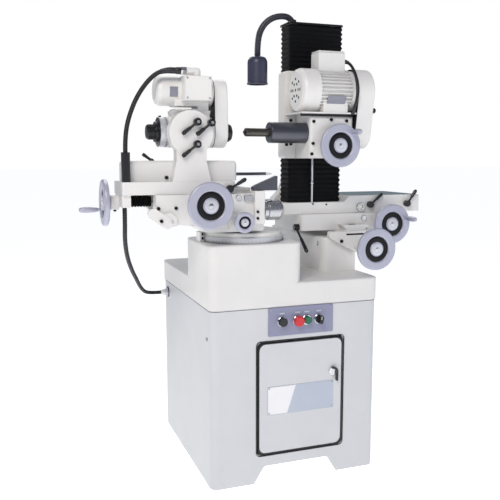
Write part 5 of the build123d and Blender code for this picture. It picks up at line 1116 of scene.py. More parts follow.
@dataclass(frozen=True)
class Route:
    """Way of a bendy piece through its control points, in millimetres."""

    name: str
    points: tuple[Point, ...]
    radius: float
    pitch: float
    rib: float

    def curve(self) -> bpy.types.Object:
        """Make one smooth spline with the route's points as its control points.

        Returns:
            The curve's object, in metres.
        """
        data = bpy.data.curves.new(self.name + "_line", "CURVE")
        data.dimensions = "3D"
        data.resolution_u = 24
        spline = data.splines.new("NURBS")
        spline.points.add(len(self.points) - 1)
        for knot, point in zip(spline.points, self.points):
            knot.co = (*(Vector(point) * MM), 1)
        spline.order_u = 3
        spline.use_endpoint_u = True
        return new_object(self.name + "_line", data)

    def line(self, start: float = 0.0, end: float = 1.0) -> list[Vector]:
        """Read the points of the spline between two shares of its length.

        Args:
            start: Share of the length where the stretch starts.
            end: Share of the length where it ends.

        Returns:
            Points in metres, in order.
        """
        slack = 0.002
        curve = self.curve()
        points = [vertex.co.copy() for vertex in evaluated(curve).vertices]
        bpy.data.objects.remove(curve)
        runs = [(after - before).length for before, after in zip(points, points[1:])]
        shares = [sum(runs[:number]) / sum(runs) for number in range(len(points))]
        return [point for point, share in zip(points, shares) if start - slack <= share <= end + slack]

    def length(self, start: float = 0.0, end: float = 1.0) -> float:
        """Measure a stretch of the spline in metres."""
        points = self.line(start, end)
        return sum((after - before).length for before, after in zip(points, points[1:]))

    def tube(
        self, name: str, finish: Finish, body: str | None, start: float = 0.0, end: float = 1.0,
        swell: float = 1.0, taper: float = 0.0,
    ) -> bpy.types.Object:
        """Lead a ribbed tube along a stretch of the route.

        Args:
            name: Name of the piece.
            finish: Finish of the piece.
            body: Body that it rides on, or None where it rides on none.
            start: Share of the length where it starts.
            end: Share of the length where it ends.
            swell: Radius over the route's own.
            taper: Share of the radius that is added at its start.

        Returns:
            The new object.
        """
        steps_per_rib = 6
        settings = {
            "Path": self.curve(), "Radius": self.radius * swell * MM, "Step": self.pitch * MM / steps_per_rib,
            "Pitch": self.pitch * MM, "Rib": self.rib, "Taper": taper, "Start": start, "End": end,
        }
        return grow(name, hose_tree(), settings, finish, body)


@dataclass
class Conduits:
    """Flexible conduits of the left unit and the cable of the wheel's motor."""

    head: Route = Route("head_conduit_hose", (
        (-396, -258, 1351), (-424, -258, 1351), (-462, -260, 1329), (-505, -263, 1274), (-534, -267, 1208),
        (-547, -270, 1148), (-547, -270, 1102),
    ), radius=7.0, pitch=5.0, rib=0.04)
    cabinet: Route = Route("cabinet_conduit_hose", (
        (-548.5, -242, 934), (-548.5, -242, 882), (-543.5, -200, 824), (-523.5, -120, 759),
        (-491.5, -20, 698), (-460.5, 70, 652), (-431, 161, 606), (-400, 231, 569), (-366, 259, 558),
        (-330, 259, 558),
    ), radius=7.0, pitch=5.0, rib=0.04)
    motor: Route = Route("motor_lead", (
        (213, -205, 1412), (226, -205, 1412), (235, -225, 1401), (237, -255, 1369), (235, -275, 1334),
        (231, -287, 1276), (230, -254, 1234),
    ), radius=5.0, pitch=4.0, rib=0.0)
    cabinet_cuts: tuple[float, ...] = (0.0, 0.22, 0.345, 1.0)
    cabinet_bodies: tuple[str, ...] = ("left_table", "left_saddle", "swivel", "base")
    head_bend: Pair = (0.15, 0.9)

    def build(self) -> None:
        """Lead every conduit and cable."""
        self.lead_head()
        self.lead_cabinet()
        self.lead_motor()

    def lead_head(self) -> None:
        """Lead the conduit from the head's motor down to the sleeve of the table."""
        relief = self.head.tube(
            "head_conduit_relief", BLACK_ABS, "work_head", end=0.11, swell=1.12, taper=0.3,
        )
        hose = self.head.tube("head_conduit_hose", PVC_BLACK_AND_GAP_SHADE, None)
        bend = self.head.line(*self.head_bend)
        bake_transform(hose)
        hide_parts("head_conduit")
        self.declare(self.head, 0.0, 1.0)

    def lead_cabinet(self) -> None:
        """Lead the conduit from the table to the cabinet, in a stretch for each joint that it crosses."""
        cuts, bodies = self.cabinet_cuts, self.cabinet_bodies
        stretches = zip(cuts, cuts[1:], bodies, bodies[1:])
        for number, (start, end, upper, lower) in enumerate(stretches, 1):
            hose = self.cabinet.tube(f"cabinet_conduit_hose_{number}", PVC_BLACK_AND_GAP_SHADE, None, start, end)
            line = self.cabinet.line(start, end)
            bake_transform(hose)
            if number == 1:
                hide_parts("cabinet_conduit")
            self.declare(self.cabinet, start, end)

    def lead_motor(self) -> None:
        """Lead the cable from the motor's terminal box down to the foot plate."""
        upper = self.motor.tube("motor_lead_relief", BLACK_ABS, "wheelhead", end=0.1, swell=1.15, taper=0.5)
        lower = self.motor.tube(
            "motor_lead_grommet", BLACK_ABS, "wheelhead", start=0.9, swell=1.6, taper=-0.4,
        )
        lead = self.motor.tube("motor_lead", PVC_BLACK_AND_GAP_SHADE, "wheelhead")
        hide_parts("motor_cable")
        self.declare(self.motor, 0.0, 1.0)

    def declare(
        self, route: Route, start: float, end: float,
    ) -> None:
        """Read the points of a cord's stretch and measure its length, keeping neither.

        Args:
            route: Its route.
            start: Share of the route where the tube starts.
            end: Share of the route where it ends.
        """
        line = route.line(start, end)
        route.length(start, end)


# Sub-assemblies

def curved_plate(radius: float, width: float, thick: float, start: float, end: float) -> bmesh.types.BMesh:
    """Bend a thin plate round X.

    Args:
        radius: Radius of its inner face in millimetres.
        width: Size along X.
        thick: Thickness.
        start: Angle of its first edge from Y in degrees.
        end: Angle of its last edge.

    Returns:
        Closed shape with its middle on X at zero.
    """
    steps = 12
    half, outer = width / 2, radius + thick
    section = [(-half, radius), (half, radius), (half, outer), (-half, outer)]
    rings = []
    for step in range(steps + 1):
        angle = math.radians(start + (end - start) * step / steps)
        rings.append([(x, reach * math.cos(angle), reach * math.sin(angle)) for x, reach in section])
    return loft(rings)


def prism(outline: Sequence[Pair], thick: float) -> bmesh.types.BMesh:
    """Make a flat piece with straight edges, from a little inside its seat up to a height along Z."""
    return loft([[(x, y, height) for x, y in outline] for height in (-SUNK, thick)])


def framed(size: Pair, section: Sequence[Point]) -> bmesh.types.BMesh:
    """Run a section round a rectangle with round corners.

    Args:
        size: Width and height of the rectangle.
        section: Reach beyond the rectangle, radius of the corners and height at each point of the section.

    Returns:
        Closed ring in millimetres.
    """
    width, height = size
    return loft([
        rounded_rectangle(width + 2 * reach, height + 2 * reach, corner, up) for reach, corner, up in section
    ], loop=True)


def tick(long: float, wide: float, proud: float = 0.12) -> bmesh.types.BMesh:
    """Make one engraved line along Z that lies on a rim, with its outer face just proud of it.

    Args:
        long: Length along Z in millimetres.
        wide: Width of the line.
        proud: How far its face stands out of the rim.

    Returns:
        Closed shape with X away from the rim.
    """
    half = wide / 2
    outline = [(-SUNK, -half), (proud, -half), (proud, half), (-SUNK, half)]
    return loft([[(x, y, z) for x, y in outline] for z in (0, long)])


def belt_outline(high: float, low: float, distance: float) -> list[Pair]:
    """Give the outline round two pulleys, one above the other.

    Args:
        high: Radius round the upper pulley.
        low: Radius round the lower pulley, whose middle is at zero.
        distance: Height of the upper pulley's middle.

    Returns:
        Points in order, with the upper pulley along Y.
    """
    points = []
    for degrees in range(0, 360, 5):
        across, up = math.cos(math.radians(degrees)), math.sin(math.radians(degrees))
        on_top = high + distance * up > low
        radius, middle = (high, distance) if on_top else (low, 0.0)
        points.append((radius * across, middle + radius * up))
    return points


def aim(start: Point, end: Point) -> Matrix:
    """Place a shape drawn in millimetres so that its Z runs from one point towards another.

    Args:
        start: Place of the shape's zero in millimetres.
        end: Point that Z runs towards.

    Returns:
        Matrix from the shape's millimetres to the shared frame's metres.
    """
    way = Vector(end) - Vector(start)
    turn = way.to_track_quat("Z", "Y").to_matrix().to_4x4()
    return Matrix.Translation(Vector(start) * MM) @ turn @ Matrix.Scale(MM, 4)


@dataclass
class Stand:
    """Cabinet with its door and control panel, and the bed on it."""

    cabinet_front: float = -327.5
    cabinet_size: Pair = (600.0, 655.0)
    cabinet_corner: float = 24.0
    seam_level: float = 600.0
    gland_place: Point = (-300.0, 259.0, 558.0)
    door_front: float = -329.5
    door_middle: Pair = (15.0, 291.0)
    door_size: Pair = (306.0, 380.0)
    door_corner: float = 12.0
    # Black strips that paint the shade of the door's gap: their reach beyond the door, their corners and their
    # depth.
    outer_shade_reach: Pair = (4.4, 8.4)
    outer_shade_corners: Pair = (10.0, 17.0)
    inner_shade_inside: float = 3.2
    inner_shade_corner: float = 22.0
    inner_shade_back: float = 7.0
    latch_place: Point = (132.0, -333.4, 363.0)
    latch_radii: Pair = (10.0, 17.0)
    latch_reach: float = 34.0
    latch_thick: float = 8.0
    sign_middle: Pair = (15.0, 283.0)
    sign_size: Pair = (243.0, 98.0)
    sign_slant: Pair = (-50.0, -19.0)
    sign_margin: float = 2.0
    panel_front: float = -330.5
    panel_middle: Pair = (13.0, 551.0)
    panel_size: Pair = (234.0, 95.0)
    controls: tuple[float, ...] = (-56.0, 0.0, 33.0, 77.0)
    bezel_radius: float = 17.4
    bezel_bore: float = 12.2
    legend_up: float = 27.0
    selector_front: float = -355.5
    bed_screws: tuple[Spot, ...] = (
        Spot((-288, -207, 836.5), 5.0, Facing.LEFT), Spot((-288, -207, 823), 5.0, Facing.LEFT),
        Spot((225, -200, 791), 6.0),
    )
    cabinet_bolt: Spot = Spot((-300, -287, 502), 6.0, Facing.LEFT)
    bed_stud: Spot = Spot((161, -140, 780), 8.0, Facing.LEFT)
    gap_shadow_place: Point = (279.5, -200.0, 814.0)
    swivel_middle: Point = (-145.0, -185.0, 812.0)
    swivel_radius: float = 140.0
    scale_height: float = 18.0

    def dress(self) -> None:
        """Add the painted shade round the door, the latch's handle, the painted shadow under the bed, the sign,
        the control panel's trim, the screws, the painted shadow under the right saddle and the swivel's scale.
        """
        self.add_outer_gap_shade()
        self.add_inner_gap_shade()
        self.add_latch_handle()
        self.add_seam()
        self.add_sign()
        self.add_panel_trim()
        self.add_screws()
        self.add_swivel_scale()

    def add_outer_gap_shade(self) -> None:
        """Paint the shade of the door's gap as a black strip round the opening, on the cabinet."""
        (inside, outside), (tight, wide) = self.outer_shade_reach, self.outer_shade_corners
        section = [
            (outside, wide, -0.4), (outside, wide, 1.0), (outside - 1, wide, 1.8),
            (inside + 1, tight, 1.8), (inside, tight, 1.0), (inside, tight, -0.4),
        ]
        place = Facing.FRONT.matrix((self.door_middle[0], self.cabinet_front, self.door_middle[1]))
        add_piece("door_seal", framed(self.door_size, section), PVC_BLACK_AND_GAP_SHADE, "base", place)

    def add_inner_gap_shade(self) -> None:
        """Paint the shade of the door's gap as a black strip folded over the rim of the door."""
        inside, back = self.inner_shade_inside, self.inner_shade_back
        wide, tight = self.inner_shade_corner, self.door_corner
        section = [
            (-inside, wide, -0.2), (-inside, wide, 0.4), (0.2, tight, 0.6), (0.5, tight, 0.3),
            (0.5, tight, -back), (-0.3, tight, -back), (-0.3, tight, -0.2),
        ]
        place = Facing.FRONT.matrix((self.door_middle[0], self.door_front, self.door_middle[1]))
        add_piece("door_edging", framed(self.door_size, section), PVC_BLACK_AND_GAP_SHADE, "door", place)

    def add_latch_handle(self) -> None:
        """Put a black hooked handle on the latch, which runs over its top and down at its right."""
        inner, outer = self.latch_radii
        angles = [math.radians(degrees) for degrees in range(110, -1, -10)]
        tip = [(outer, 4 - self.latch_reach), (outer - 2, -self.latch_reach), (inner, 2 - self.latch_reach)]
        outline = [(outer * math.cos(angle), outer * math.sin(angle)) for angle in angles] + tip
        outline += [(inner * math.cos(angle), inner * math.sin(angle)) for angle in reversed(angles)]
        place = Facing.FRONT.matrix(self.latch_place)
        add_piece("latch_handle", prism(outline, self.latch_thick), PHENOLIC, "latch", place)

    def add_seam(self) -> None:
        """Paint the shadow under the bed's overhang as a grey strip along the seam, and add the black washer of
        the gland.
        """
        edges = [(0.7, -2.4), (0.7, -0.1), (-1.5, -0.1), (-1.5, -2.4)]
        seam = framed(self.cabinet_size, [(reach, self.cabinet_corner, up) for reach, up in edges])
        add_piece("bed_seam", seam, PAINTED_SEAM_SHADOW, "base", Facing.UP.matrix((0, 0, self.seam_level)))
        washer = turned([(21, -SUNK), (21, 2.2), (20, 2.8), (12, 2.8), (12, -SUNK)], loop=True, sides=40)
        add_piece("gland_washer", washer, BLACK_ABS, "base", Facing.LEFT.matrix(self.gland_place))

    def add_sign(self) -> None:
        """Screw a bare plate in two tones on the door."""
        width, height = self.sign_size
        x, z = self.sign_middle
        place = Facing.FRONT.matrix((x, self.door_front, z))
        add_piece("door_sign", plate(width, height, corner=3, thick=0.8, edge=0.3), PLATE_BLUE, "door", place)
        left, low = self.sign_margin - width / 2, self.sign_margin - height / 2
        pale = [(left, low), (self.sign_slant[0], low), (self.sign_slant[1], -low), (left, -low)]
        add_piece("door_sign_pale_part", prism(pale, 1.0), PLATE_WHITE, "door", place)
        face = (x, self.door_front - 0.9, z)
        corner_screws("door_sign_screws", face, self.sign_size, inset=6, radius=3.0, body="door")

    def add_panel_trim(self) -> None:
        """Add bezels, bare legend plates, corner screws and the selector's pointer to the control panel."""
        middle, level = self.panel_middle
        rim, bore = self.bezel_radius, self.bezel_bore
        profile = [(rim, -SUNK), (rim, 3.8), (rim - 1.6, 5.2), (bore, 5.2), (bore, -SUNK)]
        spots = [Spot((x, self.panel_front, level), 1.0) for x in self.controls]
        set_out("panel_bezels", turned(profile, loop=True, sides=32), spots, CHROME, "base")
        for number, x in enumerate(self.controls, 1):
            place = Facing.FRONT.matrix((x, self.panel_front, level + self.legend_up))
            legend = plate(19, 6, corner=1, thick=0.6, edge=0.2)
            add_piece(f"legend_plate_{number}", legend, PLATE_BLUE, "base", place)
        face = (middle, self.panel_front, level)
        corner_screws("panel_screws", face, self.panel_size, inset=7, radius=3.2, body="base")
        pointer = plate(2, 12, corner=0.8, thick=0.4, edge=0.15)
        place = Facing.FRONT.matrix((self.controls[-1], self.selector_front, level + 6))
        add_piece("selector_pointer", pointer, PLATE_WHITE, "selector", place)

    def add_screws(self) -> None:
        """Set the screws of the clamp lug, the bed and the cabinet, and paint the shadow in the gap under the
        right saddle as a dark strip.
        """
        set_out("bed_screws", ScrewHead.SOCKET.shape(), self.bed_screws, BLACK_OXIDE, "base")
        set_out("cabinet_bolt", ScrewHead.BOLT.shape(), [self.cabinet_bolt], ZINC, "base")
        set_out("bed_stud", ScrewHead.PAN.shape(), [self.bed_stud], CHROME, "base")
        slot = plate(71, 6, corner=2.5, thick=0.4, edge=0.2)
        add_piece("bracket_slot", slot, PAINTED_OPENING_SHADE, "base", Facing.FRONT.matrix(self.gap_shadow_place))

    def add_swivel_scale(self) -> None:
        """Put a bright scale band on the swivel's rim, engraved in steps of one degree."""
        place = Facing.UP.matrix(self.swivel_middle)
        inner, outer, top = self.swivel_radius - 0.6, self.swivel_radius + 0.25, self.scale_height
        band = turned([(inner, 0), (outer, 0), (outer, top), (inner, top)], loop=True, sides=128)
        add_piece("swivel_scale_band", band, TURNED_STEEL_Z, "swivel", place)
        set_round(
            "swivel_scale", tick(long=5, wide=0.6), 360, outer, ENGRAVED_BLACK, "swivel", place,
            long_every=5, long=1.8,
        )


@dataclass(frozen=True)
class Handwheel:
    """Trim of one handwheel, which has its body's name: a black dish, a bright hub cap and its nut."""

    name: str
    place: Point
    facing: Facing = Facing.FRONT
    rim_inner: float = 44.0
    hub: float = 25.0
    web_top: float = 8.8
    hub_top: float = 14.4

    def dress(self) -> None:
        """Add the dish, the cap and the nut."""
        where = self.facing.matrix(self.place)
        low, high = self.web_top - 0.5, self.web_top + 0.8
        inner, outer = self.hub + 0.3, self.rim_inner - 0.3
        dish = turned([
            (inner, low), (inner, high), (inner + 1, high + 0.3),
            (outer - 1, high + 0.3), (outer, high), (outer, low),
        ], loop=True, sides=64)
        add_piece(self.name + "_dish", dish, BLACK_ENAMEL_AND_GAP_SHADE, self.name, where)
        hub, top = self.hub, self.hub_top
        cap = turned([
            (hub * 0.84, top - 0.4), (hub * 0.84, top + 0.3), (hub * 0.8, top + 0.6), (hub * 0.5, top + 0.6),
        ])
        add_piece(self.name + "_hub_cap", cap, SATIN_CHROME, self.name, where)
        width = hub * 0.36
        nut = loft([
            hexagon(width, top), hexagon(width, top + 1.1), circle(width * 0.8, top + 1.5, HEX_POINTS),
        ])
        add_piece(self.name + "_nut", nut, CHROME, self.name, where)


HANDWHEELS = [
    Handwheel("feed_wheel", (-307, -356, 940)),
    Handwheel("end_wheel", (-596, -200, 946), Facing.LEFT),
    Handwheel("right_cross_wheel", (294, -317, 775)),
    Handwheel("right_traverse_wheel", (445, -166.4, 843)),
    Handwheel("lift_wheel", (178, -262, 1126)),
    Handwheel("cross_wheel", (-192, -340, 884), rim_inner=19.8, hub=13.2),
]


@dataclass
class LeftUnit:
    """Saddle and table of the work head's side."""

    saddle_front: float = -300.0
    arm_front: float = -312.0
    post_front: float = -315.0
    bracket_outline: tuple[Pair, ...] = (
        (-452, 912), (-430, 892), (-413, 874), (-399, 876), (-398, 902), (-420, 919),
    )
    bracket_thick: float = 9.0
    stop_middle: Pair = (-164.0, 958.0)
    cover_low: Point = (-534.6, -200.0, 949.7)
    cover_size: Pair = (72.0, 35.4)
    cover_corner: float = 7.0
    cover_length: float = 72.2
    cover_depth: float = 5.0
    cover_pitch: float = 9.0
    rod_start: Point = (-183.0, -200.0, 1032.0)
    rod_length: float = 140.2
    lever_ends: tuple[Point, Point] = ((-450.0, -200.0, 1075.0), (-478.0, -200.0, 1095.0))
    table_screws: tuple[Spot, ...] = (
        Spot((-417, -250, 1024), 6.0), Spot((-572, -200, 923), 5.0, Facing.DOWN),
        Spot((-327, -290, 1161), 5.0),
    )

    def dress(self) -> None:
        """Add the way cover and the trim of the saddle and the table."""
        self.add_way_cover()
        self.add_saddle_trim()
        self.add_table_trim()

    def add_way_cover(self) -> None:
        """Fold the cover between the saddle and the end of the table."""
        ring = rounded_rectangle(*self.cover_size, self.cover_corner, 0)
        cover = pleated(
            "way_cover_folds", [(x, y) for x, y, _ in ring], True, self.cover_length, self.cover_depth,
            self.cover_pitch, Facing.RIGHT.matrix(self.cover_low),
        )
        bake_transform(cover)
        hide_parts("way_cover")

    def add_saddle_trim(self) -> None:
        """Add the pointer's bracket, the stop block and the screws of the saddle."""
        front = self.saddle_front
        bracket = prism(self.bracket_outline, self.bracket_thick)
        add_piece("pointer_bracket", bracket, IVORY_ENAMEL, "left_saddle", Facing.FRONT.matrix((0, front, 0)))
        block = plate(28, 20, corner=2, thick=9, edge=1.2)
        place = Facing.FRONT.matrix((self.stop_middle[0], front, self.stop_middle[1]))
        add_piece("stop_block", block, TURNED_STEEL_Y, "left_saddle", place)
        black = [
            Spot((-455, front, 931), 5.5), Spot((-400, front, 931), 5.5),
            Spot((-449, self.arm_front, 893), 5.5),
            Spot((-136, self.post_front, 914), 4.5), Spot((-136, self.post_front, 893), 4.5),
        ]
        set_out("saddle_screws", ScrewHead.SOCKET.shape(), black, BLACK_OXIDE, "left_saddle")
        bright = [Spot((-197, front, 960), 10.0), Spot((-415, front - self.bracket_thick, 890), 5.0)]
        set_out("saddle_nuts", ScrewHead.BOLT.shape(), bright, CHROME, "left_saddle")

    def add_table_trim(self) -> None:
        """Add the pointed rod's steel, the small lever and the screws of the table."""
        rod = turned([(5.3, 0), (5.3, self.rod_length - 24), (0.9, self.rod_length)], sides=24)
        add_piece("pointed_rod_steel", rod, DARK_STEEL, "left_table", Facing.RIGHT.matrix(self.rod_start))
        lever = turned([(6.5, -3), (6.5, 6), (4.2, 9), (4.8, 24), (6, 34), (4.4, 38)], sides=20)
        add_piece("block_lever", lever, PHENOLIC, "left_table", aim(*self.lever_ends))
        set_out("table_screws", ScrewHead.SOCKET.shape(), self.table_screws, BLACK_OXIDE, "left_table")


@dataclass
class WorkHead:
    """Tilting work head with its motor, terminal box and index dial."""

    dial_right: Point = (-403.4, -200.0, 1166.0)
    dial_radius: float = 47.0
    dial_clamp: Spot = Spot((-424, -200, 1213), 4.5, Facing.UP)
    knob_radius: float = 23.3
    box_middle: Point = (-319.5, -284.0, 1298.0)
    box_size: Pair = (87.0, 76.0)
    lid_thick: float = 3.0
    elbow_left: Point = (-352.0, -258.0, 1351.0)
    elbow_nut_length: float = 17.5
    guard_left: float = -255.0
    guard_radii: Pair = (41.4, 48.4)
    motor_middle: Point = (-388.0, -200.0, 1294.0)
    motor_radius: float = 47.0
    lever_spots: tuple[tuple[str, float, float], ...] = (
        ("head_lever_top", -328.0, 1195.0), ("head_lever_right", -283.0, 1193.0),
        ("head_lever_low", -329.0, 1127.0),
    )
    lever_top: float = -308.4

    def dress(self) -> None:
        """Add the dial's black face and scale, the box lid, the painted shade on the guard, the conduit's
        fittings and the screws.
        """
        self.add_dial()
        self.add_box_lid()
        self.add_fittings()
        self.add_lever_screws()

    def add_dial(self) -> None:
        """Add the black face and knob of the index dial, its scale, its knurl and its clamp screw."""
        place = Facing.LEFT.matrix(self.dial_right)
        face = turned([
            (46.4, 28.2), (46.4, 28.9), (45.6, 29.2), (32.4, 29.2), (32.4, 38.2), (31.8, 38.9),
            (self.knob_radius, 38.9), (self.knob_radius, 60.7), (19.4, 64.9), (6, 65.2),
        ], sides=64)
        add_piece("dial_face", face, PHENOLIC, "work_spindle", place)
        ridge = loft([
            [(-0.6, -0.8, foot), (0.7, -0.3, crest), (0.7, 0.3, crest), (-0.6, 0.8, foot)]
            for foot, crest in ((42, 43), (60, 59))
        ])
        set_round("dial_knob_knurl", ridge, 48, self.knob_radius, PHENOLIC, "work_spindle", place)
        rim = Facing.LEFT.matrix((self.dial_right[0] - 3, *self.dial_right[1:]))
        set_round(
            "dial_scale", tick(long=6, wide=0.7), 120, self.dial_radius, ENGRAVED_BLACK, "work_spindle", rim,
            long_every=5, long=1.7,
        )
        set_out("dial_clamp_screw", ScrewHead.SOCKET.shape(), [self.dial_clamp], BLACK_OXIDE, "work_spindle")

    def add_box_lid(self) -> None:
        """Screw a lid on the terminal box and fix a bare rating plate on the motor."""
        width, height = self.box_size
        lid = plate(width - 3, height - 3, corner=6, thick=self.lid_thick, edge=1.2)
        add_piece("head_box_lid", lid, IVORY_ENAMEL, "work_head", Facing.FRONT.matrix(self.box_middle))
        x, y, z = self.box_middle
        face = (x, y - self.lid_thick, z)
        corner_screws("head_box_screws", face, self.box_size, inset=8, radius=3.2, body="work_head")
        rating = curved_plate(self.motor_radius - 0.2, width=26, thick=0.9, start=168, end=206)
        add_piece("head_rating_plate", rating, PLATE_GREY, "work_head", Facing.UP.matrix(self.motor_middle))

    def add_fittings(self) -> None:
        """Paint the shade between the motor and the guard as a black plate on the guard's back, and add the
        bright nut and black gland of the conduit's elbow.
        """
        back = prism(belt_outline(*self.guard_radii, self.motor_middle[2] - self.dial_right[2]), 1.6)
        seat = Facing.LEFT.matrix((self.guard_left, *self.dial_right[1:]))
        add_piece("head_guard_back", back, BLACK_ENAMEL_AND_GAP_SHADE, "work_head", seat)
        end = self.elbow_nut_length
        nut = loft([hexagon(12.8, -1), hexagon(12.8, end - 1.5), circle(11.5, end, HEX_POINTS)])
        add_piece("elbow_nut", nut, CHROME, "work_head", Facing.LEFT.matrix(self.elbow_left))
        gland = turned([(11, 0), (11, 12), (10, 14), (9.6, 27)], sides=32)
        start = (self.elbow_left[0] - end, *self.elbow_left[1:])
        add_piece("elbow_gland", gland, BLACK_ABS, "work_head", Facing.LEFT.matrix(start))

    def add_lever_screws(self) -> None:
        """Set a screw in the hub of each clamping lever."""
        for lever, x, z in self.lever_spots:
            spot = Spot((x, self.lever_top, z), 5.0)
            set_out(lever + "_screw", ScrewHead.SOCKET.shape(), [spot], ZINC, lever)


@dataclass
class RightUnit:
    """Saddle and table of the wheel's side."""

    wing_middle: Point = (445.0, 10.0, 947.0)
    wing_size: Pair = (286.0, 244.0)
    table_front: float = -120.0
    table_screws: tuple[Pair, ...] = ((149, 920), (202, 917))
    sight_middle: Pair = (340.0, 905.0)
    saddle_nut: Spot = Spot((344, -140, 866), 11.0)

    def dress(self) -> None:
        """Add the ground top of the wing, the sight glass and its ring, and the screws."""
        top = plate(*self.wing_size, corner=8, thick=0.7, edge=0.3)
        add_piece("wing_top", top, GROUND_STEEL, "right_table", Facing.UP.matrix(self.wing_middle))
        boss = Facing.FRONT.matrix((self.sight_middle[0], self.table_front, self.sight_middle[1]))
        profile = [(16, -SUNK), (16, 8), (14.5, 9.5), (10.5, 9.5), (9.5, 4), (9.5, -SUNK)]
        add_piece("sight_ring", turned(profile, loop=True, sides=40), CHROME, "right_table", boss)
        glass = turned([(9.6, -SUNK), (9.6, 4.5), (6, 6.2), (2, 6.8)], sides=32)
        add_piece("sight_glass", glass, OPAL_GLASS, "right_table", boss)
        screws = [Spot((x, self.table_front, z), 3.2) for x, z in self.table_screws]
        set_out("right_table_screws", ScrewHead.SOCKET.shape(), screws, BLACK_OXIDE, "right_table")
        set_out("right_saddle_nut", ScrewHead.BOLT.shape(), [self.saddle_nut], CHROME, "right_saddle")


@dataclass
class Column:
    """Column with its bellows, cap, stop rod and lamp."""

    left: float = 60.0
    right: float = 270.0
    front: float = -99.0
    back: float = -25.0
    corner: float = 8.0
    depth: float = 5.0
    pitch: float = 17.0
    lower: Pair = (925.4, 1082.6)
    upper: Pair = (1384.4, 1546.1)
    cap_top: float = 1553.0
    cap_middle: float = -56.0
    cap_depth: float = 88.0
    rod_place: Point = (150.0, -107.0, 925.2)
    lamp_middle: Point = (-65.0, -120.0, 1369.0)
    bulb_radius: float = 18.4
    arm: Route = Route("lamp_arm_spiral", (
        (97, -44, 1560.7), (84, -49, 1576.7), (46, -63, 1577.7), (0, -81, 1563.7), (-40, -99, 1531),
        (-65, -120, 1482), (-65, -120, 1427),
    ), radius=10.2, pitch=5.0, rib=0.07)

    def dress(self) -> None:
        """Add the bellows, the cap, the stop rod's chrome and the lamp's arm and bulb."""
        self.add_bellows("lower_bellows", self.lower)
        self.add_bellows("upper_bellows", self.upper)
        self.add_cap()
        self.add_stop_rod()
        self.add_lamp()

    def outline(self) -> list[Pair]:
        """Give the three-sided outline of the bellows, from the left round the front to the right.

        Returns:
            Points in millimetres, in order.
        """
        steps = 6
        points = [(self.left, self.back)]
        corners = [(self.left + self.corner, 180), (self.right - self.corner, 270)]
        for middle, start in corners:
            for step in range(steps + 1):
                angle = math.radians(start + 90 * step / steps)
                points.append((
                    middle + self.corner * math.cos(angle),
                    self.front + self.corner + self.corner * math.sin(angle),
                ))
        return points + [(self.right, self.back)]

    def add_bellows(self, node: str, levels: Pair) -> None:
        """Fold one of the two bellows.

        Args:
            node: Solid that it stands for.
            levels: Its lowest and highest level.
        """
        low, high = levels
        place = Facing.UP.matrix((0, 0, low))
        folds = pleated(node + "_folds", self.outline(), False, high - low, self.depth, self.pitch, place)
        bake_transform(folds)
        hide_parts(node)

    def add_cap(self) -> None:
        """Cover the column's top with a black plate."""
        low = self.upper[1] + 0.3
        width, thick = self.right - self.left + 2, self.cap_top - low + 0.6
        cap = plate(width, self.cap_depth, corner=self.corner + 1, thick=thick, edge=1.0)
        place = Facing.UP.matrix(((self.left + self.right) / 2, self.cap_middle, low))
        add_piece("column_cap", cap, BLACK_ENAMEL_AND_GAP_SHADE, "right_table", place)

    def add_stop_rod(self) -> None:
        """Sleeve the stop rod and its bead in chrome."""
        sleeve = turned([
            (4.25, 0), (4.25, 64), (5.6, 65), (6.8, 67.5), (6.8, 72), (5.6, 74.5), (4.25, 75.5), (4.25, 184),
        ], sides=24)
        add_piece("stop_rod_chrome", sleeve, CHROME, "right_table", Facing.UP.matrix(self.rod_place))

    def add_lamp(self) -> None:
        """Lead the lamp's arm from the cap to the shade, and hang the bulb in it."""
        arm = self.arm.tube("lamp_arm_spiral", DARK_SPIRAL, "right_table")
        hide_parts("lamp_arm")
        ferrule = turned([(15, -0.5), (15, 4), (13, 6), (12.4, 14), (11.2, 17)], sides=32)
        x, y, _ = self.arm.points[0]
        add_piece(
            "lamp_ferrule", ferrule, BLACK_ENAMEL_AND_GAP_SHADE, "right_table", Facing.UP.matrix((x, y, self.cap_top)),
        )
        angles = [math.radians(degrees) for degrees in range(-84, 61, 12)]
        bulb = turned([
            (self.bulb_radius * math.cos(angle), self.bulb_radius * math.sin(angle)) for angle in angles
        ], sides=32)
        add_piece("lamp_bulb", bulb, OPAL_GLASS, "right_table", Facing.UP.matrix(self.lamp_middle))


